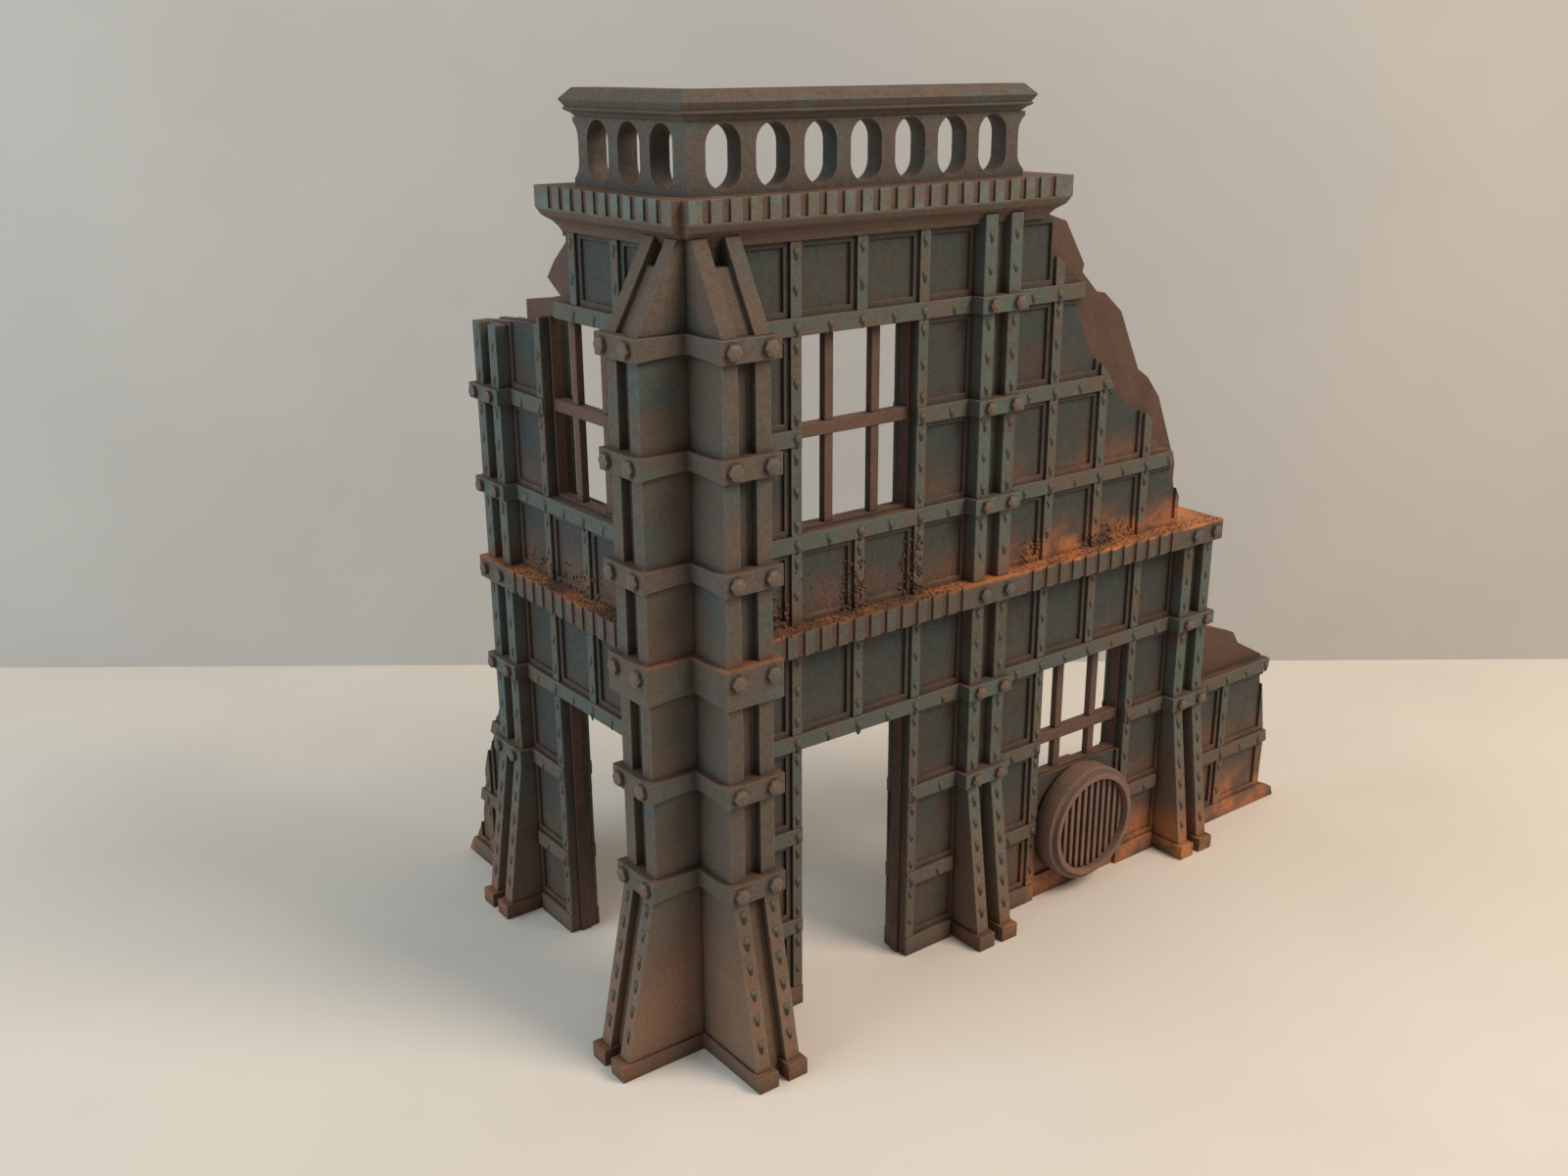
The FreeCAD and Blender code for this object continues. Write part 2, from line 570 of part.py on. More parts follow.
def cap_rail():
    base = CORNICE_TOP + BALUSTRADE_HEIGHT
    front, side = last_post(FRONT_OVALS), last_post(SIDE_OVALS)
    parts = []
    for (z0, out0), (z1, out1) in zip(CAP_SECTION, CAP_SECTION[1:]):
        if z1 > z0:
            sections = [(base + z0, out0), (base + z1, out1)]
            parts.append(moulding(sections, BALUSTRADE_FACE, BALUSTRADE_BACK, front, side, 0))
    return parts[0].fuse(parts[1:]).removeSplitter()


# ---- window bars and drain grille
def window_bars(middle, z0, z1, level):
    """A cross bar, and two upright bars above and below it."""
    inset = (CORE - BAR_THICK) / 2
    edge = HALF_OPENING - JAMB_LIP
    top = level * LEVEL
    bars = [box(middle - edge, middle + edge, CORE_FACE, LINING_FACE, top - CROSS_BAR, top)]
    for s in (middle - BAR_SPREAD / 2, middle + BAR_SPREAD / 2):
        for low, high in ((z0 + JAMB_LIP, top - CROSS_BAR), (top, z1 - JAMB_LIP)):
            bars.append(box(s - BAR / 2, s + BAR / 2, CORE_FACE + inset, LINING_FACE - inset, low, high))
    return bars


def disc(radius, d0, d1):
    return Part.makeCylinder(radius, d1 - d0, V(BAY_2, d0, DRAIN_HEIGHT), V(0, 1, 0))


def drain_ring():
    """Stepped ring with a shallow dished floor, seated on the facing."""
    ring = disc(DRAIN_RADIUS, TRIM - DRAIN_OUT, TRIM)
    face = TRIM - DRAIN_OUT
    lip = disc(DRAIN_RADIUS + PAST, face - PAST, face + DRAIN_STEP)
    ring = ring.cut(lip.cut(disc(DRAIN_RADIUS - DRAIN_STEP, face - 2 * PAST, TRIM)))
    return ring.cut(disc(DRAIN_BORE, face - PAST, TRIM - DRAIN_FLOOR))


def drain_slats():
    """Upright slats on the ring's floor, each cut to the round bore."""
    d1 = TRIM - DRAIN_FLOOR
    bore = disc(DRAIN_BORE - SLAT_CLEARANCE, d1 - SLAT_RISE, d1)
    pitch = 2 * DRAIN_BORE / SLATS
    slats = []
    for k in range(SLATS):
        s = BAY_2 + (k - (SLATS - 1) / 2) * pitch
        slats.append(box(s - SLAT_WIDTH / 2, s + SLAT_WIDTH / 2, d1 - SLAT_RISE, d1, 0, SEAM).common(bore))
    return slats


# ---- the kit
def build_walls():
    for prefix, wall, place in (("ground_front", FRONT_LOWER, None), ("ground_side", SIDE_LOWER, swap),
                                ("upper_front", FRONT_UPPER, None), ("upper_side", SIDE_UPPER, swap)):
        nodes = {"core": [wall.slab()], "facing": [wall.facing()], "lining": [wall.lining()],
                 "rails": wall.outer_rails(), "studs": wall.outer_studs(),
                 "inner_frame": wall.inner_frame()}
        for name, shapes in nodes.items():
            placed = [place(shape) for shape in shapes] if place else shapes
            save(prefix + "_" + name, placed)


def build_piers():
    save("corner_post_lower", [box(0, WALL, 0, WALL, 0, SEAM)])
    save("corner_post_upper", [box(0, WALL, 0, WALL, LEDGE_TOP, WALL_TOP)])
    shapes = {"buttress_foot": buttress(0, FLARE_TOP), "buttress_lower": buttress(FLARE_TOP, SEAM),
              "buttress_upper": buttress(SEAM, STRAP_TOP),
              "buttress_cap": buttress_cap(STRAP_TOP, PIER_TOP)}
    for name, shape in shapes.items():
        save("front_" + name, [shape])
        save("side_" + name, [swap(shape)])
    save("front_pilaster_lower", [pilaster(PIER_1, 0, SEAM)])
    save("front_pilaster_upper", [pilaster(PIER_1, LEDGE_TOP, PIER_TOP)])
    save("end_pilaster", [pilaster(PIER_2, 0, SEAM)])
    save("side_pilaster_lower", [swap(pilaster(PIER_1, 0, SEAM))])
    save("side_pilaster_upper", [swap(pilaster(PIER_1, LEDGE_TOP, SIDE_PILASTER_TOP))])
    save("plinth_blocks", buttress_plinths() + both_sides(lambda: pilaster_plinths(PIER_1))
         + pilaster_plinths(PIER_2))


def build_straps():
    buttresses = both_sides(lambda: [buttress(0, SEAM), buttress(SEAM, STRAP_TOP)])
    below = [(level * LEVEL - STRAP_HEIGHT, level * LEVEL) for level in (2, 3)]
    above = [(level * LEVEL - STRAP_HEIGHT, level * LEVEL) for level in (5, 6, 7)]
    storey_low = 4 * LEVEL - STOREY_STRAP_BELOW
    lower = [corner_strap(z0, z1, buttresses, True) for z0, z1 in below + [(storey_low, SEAM)]]
    upper = [corner_strap(SEAM, LEDGE_TOP, buttresses, False)]
    upper += [corner_strap(z0, z1, buttresses, True) for z0, z1 in above]
    save("corner_straps_lower", lower)
    save("corner_straps_upper", upper)
    save("strap_bolts_lower", both_sides(lambda: strap_bolts([(z0 + z1) / 2 for z0, z1 in below])))
    upper_heights = [(SEAM + LEDGE_TOP) / 2] + [(z0 + z1) / 2 for z0, z1 in above]
    save("strap_bolts_upper", both_sides(lambda: strap_bolts(upper_heights)))


def build_bands():
    lower = [(level * LEVEL - RAIL, level * LEVEL) for level in (2, 3)]
    upper = [(level * LEVEL - RAIL, level * LEVEL) for level in (5, 6, 7)]
    side_upper = [band for band in upper if band[1] < SIDE_PILASTER_TOP]

    def bands(s0, heights, z0, z1):
        pier = pilaster(s0, z0, z1)
        return [pilaster_band(s0, low, high, pier) for low, high in heights]

    def heads(s0, heights):
        return band_bolts(s0, [(low + high) / 2 for low, high in heights], PILASTER_OUT + BAND)

    def ledge_heads(s0):
        return band_bolts(s0, [(SEAM + LEDGE_TOP) / 2], LEDGE_OUT)

    save("pilaster_bands_lower", both_sides(lambda: bands(PIER_1, lower, 0, SEAM))
         + bands(PIER_2, lower, 0, SEAM))
    save("pilaster_bands_upper", bands(PIER_1, upper, LEDGE_TOP, WALL_TOP)
         + [swap(band) for band in bands(PIER_1, side_upper, LEDGE_TOP, SIDE_PILASTER_TOP)])
    save("pilaster_bolts_lower", both_sides(lambda: heads(PIER_1, lower)) + heads(PIER_2, lower))
    save("pilaster_bolts_upper", heads(PIER_1, upper) + [swap(head) for head in heads(PIER_1, side_upper)]
         + both_sides(lambda: ledge_heads(PIER_1)) + ledge_heads(PIER_2))


def build_fittings():
    save("ground_window_bars", window_bars(BAY_2, SILL, LINTEL, 2))
    bars = window_bars(BAY_1, UPPER_SILL, UPPER_LINTEL, 6)
    save("front_window_bars", bars)
    save("side_window_bars", [swap(bar) for bar in bars])
    save("drain_ring", [drain_ring()])
    save("drain_slats", drain_slats())
    save("locating_tenons", [tenon(BAY_1, 0), tenon(BAY_2, 0), swap(tenon(BAY_1, 0))])


def build_top():
    save("storey_ledge", [storey_ledge()])
    save("cornice", [cornice()])
    save("balustrade_front", [balustrade(BALUSTRADE_FACE, FRONT_OVALS)])
    save("balustrade_side", [swap(balustrade(BALUSTRADE_BACK, SIDE_OVALS))])
    save("cap_rail", [cap_rail()])


os.makedirs("parts", exist_ok=True)
build_walls()
build_piers()
build_straps()
build_bands()
build_fittings()
build_top()
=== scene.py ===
"""Looks of a two-storey corner ruin for tabletop games, built round its fixed frame."""

import json
import logging
import math
import random
from dataclasses import dataclass, field, replace
from enum import Enum

import bmesh
import bpy
from bpy.types import Material, Mesh, Node, NodeSocket, NodeTree, Object
from mathutils import Matrix, Vector
from mathutils.bvhtree import BVHTree

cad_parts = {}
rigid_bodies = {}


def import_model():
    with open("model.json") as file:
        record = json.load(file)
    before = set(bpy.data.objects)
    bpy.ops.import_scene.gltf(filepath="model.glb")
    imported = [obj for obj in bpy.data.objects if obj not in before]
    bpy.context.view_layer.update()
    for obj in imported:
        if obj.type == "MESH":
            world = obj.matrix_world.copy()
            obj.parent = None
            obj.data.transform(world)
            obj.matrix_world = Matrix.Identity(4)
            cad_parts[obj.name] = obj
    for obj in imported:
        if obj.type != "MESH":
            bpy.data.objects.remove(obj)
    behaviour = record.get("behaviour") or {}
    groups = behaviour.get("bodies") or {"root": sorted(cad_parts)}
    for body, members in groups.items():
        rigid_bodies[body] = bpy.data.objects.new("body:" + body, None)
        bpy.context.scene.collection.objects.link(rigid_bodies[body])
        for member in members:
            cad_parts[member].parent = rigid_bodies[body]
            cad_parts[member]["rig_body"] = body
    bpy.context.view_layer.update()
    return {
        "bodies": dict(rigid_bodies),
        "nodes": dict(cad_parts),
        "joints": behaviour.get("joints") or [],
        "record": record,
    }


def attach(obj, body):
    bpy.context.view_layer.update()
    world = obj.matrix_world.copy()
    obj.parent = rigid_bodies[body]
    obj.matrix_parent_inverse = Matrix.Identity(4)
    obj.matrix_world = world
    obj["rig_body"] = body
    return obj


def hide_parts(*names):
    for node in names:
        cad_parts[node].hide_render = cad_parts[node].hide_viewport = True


LOG = logging.getLogger("ruin")
MM = 0.001
Color = tuple[float, float, float]
Place = tuple[Vector, Vector, float]
Value = NodeSocket | float | tuple


# ---------------------------------------------------------------- sizes shared by the pieces
@dataclass(frozen=True)
class Grid:
    """The module that the ruin is laid out on, in metres.

    Wall coordinates run along a wall from the building's outer corner and in from its outermost
    rails. The frame's origin is half a wall's thickness inside that corner.
    """

    level: float = 25.4 * MM
    rail: float = 4.1 * MM
    base_rail: float = 5.5 * MM
    half_wall: float = 4.6 * MM
    pier_pitch: float = 84.6 * MM
    pier_width: float = 12.7 * MM
    flange: float = 4.1 * MM
    stud_pitch: float = 19.2 * MM
    seam: float = 98.6 * MM
    ledge_top: float = 104.65 * MM
    wall_top: float = 194.8 * MM

    def bay_middle(self, bay: int) -> float:
        """Distance along a wall of a bay's middle."""
        return (self.pier_pitch + self.pier_width) / 2 + bay * self.pier_pitch

    def rows(self) -> list[tuple[float, float]]:
        """Rows of panels.

        Returns:
            Bottom and top of every row, from the ground up.
        """
        rows = [(self.base_rail, self.level - self.rail)]
        rows += [(k * self.level, (k + 1) * self.level - self.rail) for k in (1, 2)]
        rows += [(3 * self.level, self.seam), (self.ledge_top, 5 * self.level - self.rail)]
        rows += [(k * self.level, (k + 1) * self.level - self.rail) for k in (5, 6)]
        return rows + [(7 * self.level, self.wall_top)]

    def rail_middles(self) -> list[float]:
        """Height of the middle of every rail."""
        return [k * self.level - self.rail / 2 for k in (1, 2, 3, 5, 6, 7)]


class Side(Enum):
    """The two walls. A wall's points are turned into the frame by its side."""

    FRONT = "front"
    SIDE = "side"

    def point(self, along: float, inward: float, up: float, grid: Grid) -> Vector:
        """Point in the frame from wall coordinates."""
        a, b = along - grid.half_wall, inward - grid.half_wall
        return Vector((a, b, up)) if self is Side.FRONT else Vector((b, a, up))

    def inward(self) -> Vector:
        """Direction from outside the building into it."""
        return Vector((0, 1, 0)) if self is Side.FRONT else Vector((1, 0, 0))


class Body(Enum):
    """The two loose storeys."""

    GROUND = "ground_storey"
    UPPER = "upper_storey"


# ---------------------------------------------------------------- node trees
class Tree:
    """Short calls for building a shader or geometry node tree."""

    def __init__(self, tree: NodeTree) -> None:
        """Wraps a tree whose nodes have been cleared."""
        self.tree = tree

    def node(self, kind: str, inputs: dict | None = None, **settings) -> Node:
        """Adds a node.

        Args:
            kind: Blender's class name of the node.
            inputs: value or source socket for each input, by name or index.
            **settings: attributes of the node.

        Returns:
            The new node.
        """
        node = self.tree.nodes.new(kind)
        for key, value in settings.items():
            setattr(node, key, value)
        for key, value in (inputs or {}).items():
            self.feed(node.inputs[key], value)
        return node

    def feed(self, socket: NodeSocket, value: Value) -> None:
        """Links a source to an input, or sets the input's own value.

        Args:
            socket: the input.
            value: a source socket, a number or a colour.
        """
        if isinstance(value, NodeSocket):
            self.tree.links.new(value, socket)
        elif isinstance(value, tuple) and len(value) == 3 and socket.type == "RGBA":
            socket.default_value = (*value, 1.0)
        else:
            socket.default_value = value

    def math(self, operation: str, *values: Value) -> NodeSocket:
        """Adds a maths node and returns its output."""
        node = self.node("ShaderNodeMath", dict(enumerate(values)), operation=operation)
        return node.outputs[0]

    def ramp(self, value: Value, low: float, high: float, to_low: float = 0.0,
             to_high: float = 1.0) -> NodeSocket:
        """Adds a smooth step.

        Args:
            value: what is stepped.
            low: where the step starts.
            high: where it ends.
            to_low: the result at its start.
            to_high: the result at its end.

        Returns:
            The stepped value.
        """
        node = self.node("ShaderNodeMapRange",
                         {"Value": value, "From Min": low, "From Max": high, "To Min": to_low,
                          "To Max": to_high}, interpolation_type="SMOOTHSTEP")
        return node.outputs["Result"]

    def mix(self, factor: Value, first: Value, second: Value, blend: str = "MIX") -> NodeSocket:
        """Blends two colours.

        Args:
            factor: share of the second.
            first: the colour below.
            second: the colour above.
            blend: Blender's name of the blend.

        Returns:
            The blended colour.
        """
        node = self.node("ShaderNodeMix", {0: factor, 6: first, 7: second}, data_type="RGBA",
                         blend_type=blend, clamp_result=True)
        return node.outputs[2]

    def noise(self, vector: Value, scale: float, detail: float = 3.0,
              roughness: float = 0.55) -> NodeSocket:
        """Adds noise.

        Args:
            vector: where it is read.
            scale: how many lumps to a metre.
            detail: how many finer layers it has.
            roughness: how strong those are.

        Returns:
            A value from 0 to 1.
        """
        node = self.node("ShaderNodeTexNoise", {"Vector": vector, "Scale": scale,
                                                "Detail": detail, "Roughness": roughness})
        return node.outputs[0]


def new_group(name: str, inputs: dict, outputs: dict) -> tuple[Tree, Node, Node]:
    """Makes a shader node group.

    Args:
        name: the group's name.
        inputs: default value of each input; a number or a colour.
        outputs: socket type of each output.

    Returns:
        The tree and its input and output nodes.
    """
    group = bpy.data.node_groups.new(name, "ShaderNodeTree")
    for key, value in inputs.items():
        kind = "NodeSocketColor" if isinstance(value, tuple) else "NodeSocketFloat"
        socket = group.interface.new_socket(key, in_out="INPUT", socket_type=kind)
        socket.default_value = (*value, 1.0) if isinstance(value, tuple) else value
    for key, kind in outputs.items():
        group.interface.new_socket(key, in_out="OUTPUT", socket_type=kind)
    tree = Tree(group)
    return tree, tree.node("NodeGroupInput"), tree.node("NodeGroupOutput")


FLOAT, VECTOR = "NodeSocketFloat", "NodeSocketVector"


class Effects:
    """The shared weathering effects and painted shade, each built once as a node group."""

    def __init__(self, grid: Grid) -> None:
        """Builds every group.

        Args:
            grid: the ruin's module.
        """
        self.grid = grid
        self.edges = self.worn_edges()
        self.grime_and_shade = self.crevice_grime_and_shade()
        self.rust = self.settled_rust()
        self.print_skin = self.layered_skin()

    def worn_edges(self) -> NodeTree:
        """Worn outside edges.

        Returns:
            A group that gives their mask, and a normal that rounds them.
        """
        tree, given, out = new_group("worn_edges", {"Radius": 0.0004, "Breakup": 0.5},
                                     {"Mask": FLOAT, "Normal": VECTOR})
        coords = tree.node("ShaderNodeTexCoord").outputs["Object"]
        bevel = tree.node("ShaderNodeBevel", {"Radius": given.outputs["Radius"]}, samples=6)
        flat = tree.node("ShaderNodeNewGeometry").outputs["Normal"]
        turned = tree.node("ShaderNodeVectorMath", {0: bevel.outputs[0], 1: flat},
                           operation="DOT_PRODUCT").outputs["Value"]
        edge = tree.ramp(turned, 0.995, 0.86)
        broken = tree.ramp(tree.noise(coords, 420.0, 4.0), 0.36, 0.62)
        kept = tree.math("SUBTRACT", 1.0, tree.math("MULTIPLY", given.outputs["Breakup"],
                                                    tree.math("SUBTRACT", 1.0, broken)))
        tree.feed(out.inputs["Mask"], tree.math("MULTIPLY", edge, kept))
        soft = tree.node("ShaderNodeBevel", {"Radius": 0.00022}, samples=4)
        tree.feed(out.inputs["Normal"], soft.outputs[0])
        return tree.tree

    def crevice_grime_and_shade(self) -> NodeTree:
        """Dark paint washed into the corners, and painted shade there, both from ambient occlusion.

        Returns:
            A group that gives the mask of inside corners and the ground round each rivet.
        """
        tree, given, out = new_group("crevice_grime_and_shade", {"Distance": 0.0045}, {"Mask": FLOAT})
        light = tree.node("ShaderNodeAmbientOcclusion", {"Distance": given.outputs["Distance"]},
                          samples=6)
        tree.feed(out.inputs["Mask"], tree.ramp(light.outputs["AO"], 0.92, 0.35))
        return tree.tree

    def settled_rust(self) -> NodeTree:
        """Rust dust on the ledges, above each rail and along the far wall's foot.

        Returns:
            A group that gives the dust's mask, how bright it is, and a mask of the lowest part.
        """
        grid = self.grid
        tree, given, out = new_group("settled_rust", {"Amount": 1.0, "Row Fade": 0.0},
                                     {"Mask": FLOAT, "Bright": FLOAT, "Low": FLOAT})
        coords = tree.node("ShaderNodeTexCoord").outputs["Object"]
        place = tree.node("ShaderNodeSeparateXYZ", {0: coords})
        facing = tree.node("ShaderNodeSeparateXYZ",
                           {0: tree.node("ShaderNodeNewGeometry").outputs["Normal"]})
        x, y, z = place.outputs
        cloud = tree.noise(coords, 75.0, 5.0, 0.6)
        fine = tree.noise(coords, 900.0, 3.0, 0.7)
        far = tree.ramp(x, 0.07, 0.12)
        up = tree.ramp(facing.outputs[2], 0.3, 0.9)
        above = tree.ramp(z, grid.ledge_top - 0.0012, grid.ledge_top - 0.0002)
        ledge = tree.math("MULTIPLY", above, tree.ramp(z, grid.ledge_top + 0.015,
                                                       grid.ledge_top - 0.001))
        ledge = tree.math("MULTIPLY", ledge, tree.ramp(x, 0.07, 0.12, 0.7, 1.15))
        along = tree.math("MAXIMUM", x, y)
        foot = tree.math("MULTIPLY", tree.ramp(z, 0.03, 0.0), tree.ramp(along, 0.05, 0.14))
        toe = tree.ramp(z, 0.01, 0.0)
        row = tree.math("FRACT", tree.math("DIVIDE", z, grid.level))
        height = tree.math("MAXIMUM",
                           tree.math("MULTIPLY", above, tree.ramp(z, 0.155, 0.115, 0.22, 1.0)),
                           tree.math("MULTIPLY", tree.math("SUBTRACT", 1.0, above),
                                     tree.ramp(z, 0.06, 0.03, 0.3, 0.9)))
        row_foot = tree.math("MULTIPLY", tree.ramp(row, 0.5, 0.0), given.outputs["Row Fade"])
        row_foot = tree.math("MULTIPLY", row_foot, height)
        row_foot = tree.math("MULTIPLY", row_foot, tree.math("ADD", 0.65, tree.math(
            "MULTIPLY", far, 0.35)))
        total = tree.math("MAXIMUM", tree.math("MULTIPLY", up, 0.7), row_foot)
        for part, share in ((foot, 0.95), (toe, 0.5), (ledge, 0.95)):
            total = tree.math("MAXIMUM", total, tree.math("MULTIPLY", part, share))
        patchy = tree.ramp(cloud, 0.34, 0.62, 0.3, 1.15)
        speckle = tree.ramp(fine, 0.35, 0.6, 0.75, 1.1)
        for factor in (given.outputs["Amount"], patchy, speckle):
            total = tree.math("MULTIPLY", total, factor)
        tree.feed(out.inputs["Mask"], tree.node("ShaderNodeClamp", {"Value": total}).outputs[0])
        strong = tree.math("MAXIMUM", tree.math("MULTIPLY", up, ledge), foot)
        strong = tree.math("MAXIMUM", strong, tree.math("MULTIPLY", ledge, tree.math(
            "MULTIPLY", far, 0.8)))
        bright = tree.math("MULTIPLY", tree.ramp(strong, 0.1, 0.9, 0.15, 1.0),
                           tree.ramp(cloud, 0.38, 0.6, 0.3, 1.0))
        tree.feed(out.inputs["Bright"], bright)
        low = tree.math("MULTIPLY", tree.ramp(z, 0.058, 0.008),
                        tree.ramp(cloud, 0.25, 0.6, 0.6, 1.0))
        tree.feed(out.inputs["Low"], low)
        return tree.tree

    def layered_skin(self) -> NodeTree:
        """Fine layer lines and paint grain.

        Returns:
            A group that gives their height, and a roughness that follows it.
        """
        tree, given, out = new_group("layered_skin", {"Layers": 0.5, "Grain": 0.5},
                                     {"Height": FLOAT, "Roughness": FLOAT})
        coords = tree.node("ShaderNodeTexCoord").outputs["Object"]
        z = tree.node("ShaderNodeSeparateXYZ", {0: coords}).outputs[2]
        wander = tree.math("MULTIPLY", tree.noise(coords, 160.0, 2.0), 0.00025)
        turn = tree.math("MULTIPLY", tree.math("ADD", z, wander), 2 * math.pi / 0.00032)
        lines = tree.math("MULTIPLY", tree.math("SINE", turn), given.outputs["Layers"])
        grain = tree.noise(coords, 2600.0, 3.0, 0.7)
        lumps = tree.noise(coords, 480.0, 4.0, 0.6)
        rough = tree.math("MULTIPLY", tree.math("ADD", grain, lumps), given.outputs["Grain"])
        tree.feed(out.inputs["Height"], tree.math("ADD", tree.math("MULTIPLY", lines, 0.3), rough))
        tree.feed(out.inputs["Roughness"], tree.ramp(lumps, 0.3, 0.7, 0.52, 0.8))
        return tree.tree


@dataclass(frozen=True)
class Finish:
    """One painted finish: its colours, and how much of each effect it takes."""

    name: str
    slot: str
    base: Color
    patch: Color
    edge: Color
    patch_share: float = 0.5
    patch_scale: float = 90.0
    edge_amount: float = 0.6
    rust: float = 0.6
    row_fade: float = 0.0
    # The next field and the wash colour below set how inside corners darken by ambient occlusion:
    # partly washed-in paint, partly painted shade.
    grime_and_shade: float = 0.7
    layers: float = 0.5
    grain: float = 0.5
    rust_dark: Color = (0.115, 0.06, 0.038)
    rust_bright: Color = (0.37, 0.132, 0.05)
    wash_and_shade: Color = (0.02, 0.014, 0.011)
    low: Color = (0.12, 0.075, 0.05)
    low_amount: float = 0.0
    edge_radius: float = 0.4 * MM
    tooth_face: float = 0.0
    groove: Color = (0.09, 0.05, 0.034)

    def build(self, effects: Effects) -> Material:
        """Makes the material.

        Args:
            effects: the shared node groups.

        Returns:
            The finished material.
        """
        material = bpy.data.materials.new(self.name)
        material.use_nodes = True
        material.node_tree.nodes.clear()
        tree = Tree(material.node_tree)
        coords = tree.node("ShaderNodeTexCoord").outputs["Object"]
        edges = tree.node("ShaderNodeGroup", node_tree=effects.edges)
        grime_and_shade = tree.node("ShaderNodeGroup", node_tree=effects.grime_and_shade)
        rust = tree.node("ShaderNodeGroup", node_tree=effects.rust)
        skin = tree.node("ShaderNodeGroup", node_tree=effects.print_skin)
        edges.inputs["Radius"].default_value = self.edge_radius
        rust.inputs["Amount"].default_value = self.rust
        rust.inputs["Row Fade"].default_value = self.row_fade
        skin.inputs["Layers"].default_value = self.layers
        skin.inputs["Grain"].default_value = self.grain
        patches = tree.ramp(tree.noise(coords, self.patch_scale, 5.0, 0.62),
                            0.66 - 0.3 * self.patch_share, 0.78 - 0.3 * self.patch_share)
        mottled = tree.ramp(tree.noise(coords, 1300.0, 4.0, 0.7), 0.3, 0.7, 0.8, 1.18)
        color = tree.mix(patches, self.base, self.patch)
        if self.tooth_face:
            color = tree.mix(self.set_back(tree, coords), color, self.groove)
        low = tree.math("MULTIPLY", rust.outputs["Low"], self.low_amount)
        color = tree.mix(low, color, self.low)
        rust_color = tree.mix(rust.outputs["Bright"], self.rust_dark, self.rust_bright)
        color = tree.mix(rust.outputs["Mask"], color, rust_color)
        # Inside corners darken towards the wash colour by ambient occlusion: partly washed-in paint,
        # partly painted shade.
        dark = tree.math("MULTIPLY", grime_and_shade.outputs["Mask"], self.grime_and_shade)
        dark = tree.math("MULTIPLY", dark, tree.math("SUBTRACT", 1.0, tree.math(
            "MULTIPLY", rust.outputs["Mask"], 0.6)))
        color = tree.mix(dark, color, self.wash_and_shade)
        worn = tree.math("MULTIPLY", edges.outputs["Mask"], self.edge_amount)
        worn = tree.math("MULTIPLY", worn, tree.math("SUBTRACT", 1.0, tree.math(
            "MULTIPLY", grime_and_shade.outputs["Mask"], 0.7)))
        color = tree.mix(worn, color, self.edge)
        grey = tree.node("ShaderNodeCombineColor", {0: mottled, 1: mottled, 2: mottled})
        color = tree.mix(1.0, color, grey.outputs[0], "MULTIPLY")
        bump = tree.node("ShaderNodeBump", {"Strength": 0.55, "Distance": 0.00012,
                                            "Height": skin.outputs["Height"],
                                            "Normal": edges.outputs["Normal"]})
        shader = tree.node("ShaderNodeBsdfPrincipled",
                           {"Base Color": color, "Roughness": skin.outputs["Roughness"],
                            "Normal": bump.outputs[0]})
        shader.inputs["Specular IOR Level"].default_value = 0.35
        tree.node("ShaderNodeOutputMaterial", {"Surface": shader.outputs[0]})
        return material

    def set_back(self, tree: Tree, coords: NodeSocket) -> NodeSocket:
        """Mask of the grooves between teeth, which lie behind the teeth's faces.

        Args:
            tree: the material's tree.
            coords: Object coordinates.

        Returns:
            1 in the grooves and 0 on the teeth.
        """
        place = tree.node("ShaderNodeSeparateXYZ", {0: coords})
        out = tree.math("ABSOLUTE", tree.math("MINIMUM", place.outputs[0], place.outputs[1]))
        return tree.ramp(out, self.tooth_face - 0.15 * MM, self.tooth_face - 0.35 * MM, 0.0, 0.85)


PALE_TEAL = (0.15, 0.205, 0.18)
COPPER = (0.24, 0.14, 0.09)
RED_BROWN = (0.066, 0.036, 0.023)

PANEL = Finish("panel_paint", "panel_iron", (0.034, 0.041, 0.037), (0.046, 0.036, 0.028),
               (0.15, 0.082, 0.05), 0.45, 55.0, 0.5, 1.0, 0.9, 1.0, wash_and_shade=(0.05, 0.027, 0.018),
               low_amount=0.5)
FRAME = Finish("frame_paint", "frame_iron", (0.07, 0.081, 0.068), (0.092, 0.07, 0.051), COPPER,
               0.62, 60.0, 0.55, 0.95, 0.1, 0.95, low_amount=0.6)
BUTTRESS = Finish("buttress_paint", "pier_iron", (0.085, 0.066, 0.049), (0.058, 0.07, 0.063),
                  PALE_TEAL, 0.5, 45.0, 0.6, 0.75, 0.8, 0.8, layers=0.9, wash_and_shade=(0.036, 0.022, 0.016),
                  low=(0.2, 0.108, 0.064), low_amount=0.85, edge_radius=0.8 * MM)
CAPS = replace(BUTTRESS, name="buttress_cap_paint", base=(0.1, 0.07, 0.05),
               patch=(0.068, 0.076, 0.064), layers=2.4, edge_radius=0.5 * MM)
PILASTER = Finish("pilaster_paint", "pier_iron", (0.074, 0.092, 0.08), (0.078, 0.062, 0.047),
                  PALE_TEAL, 0.5, 60.0, 0.5, 0.9, 0.3, 0.85, wash_and_shade=RED_BROWN, low_amount=0.75,
                  low=(0.18, 0.1, 0.062))
STRAP = Finish("strap_paint", "strap_iron", (0.088, 0.067, 0.051), (0.073, 0.078, 0.066), COPPER,
               0.5, 80.0, 0.55, 0.85, 0.0, 0.75, layers=0.8)
SLAB = Finish("plain_brown_paint", "plain_brown", (0.085, 0.044, 0.03), (0.07, 0.037, 0.026),
              (0.13, 0.074, 0.052), 0.5, 50.0, 0.35, 0.35, 0.0, 0.55, grain=0.35)
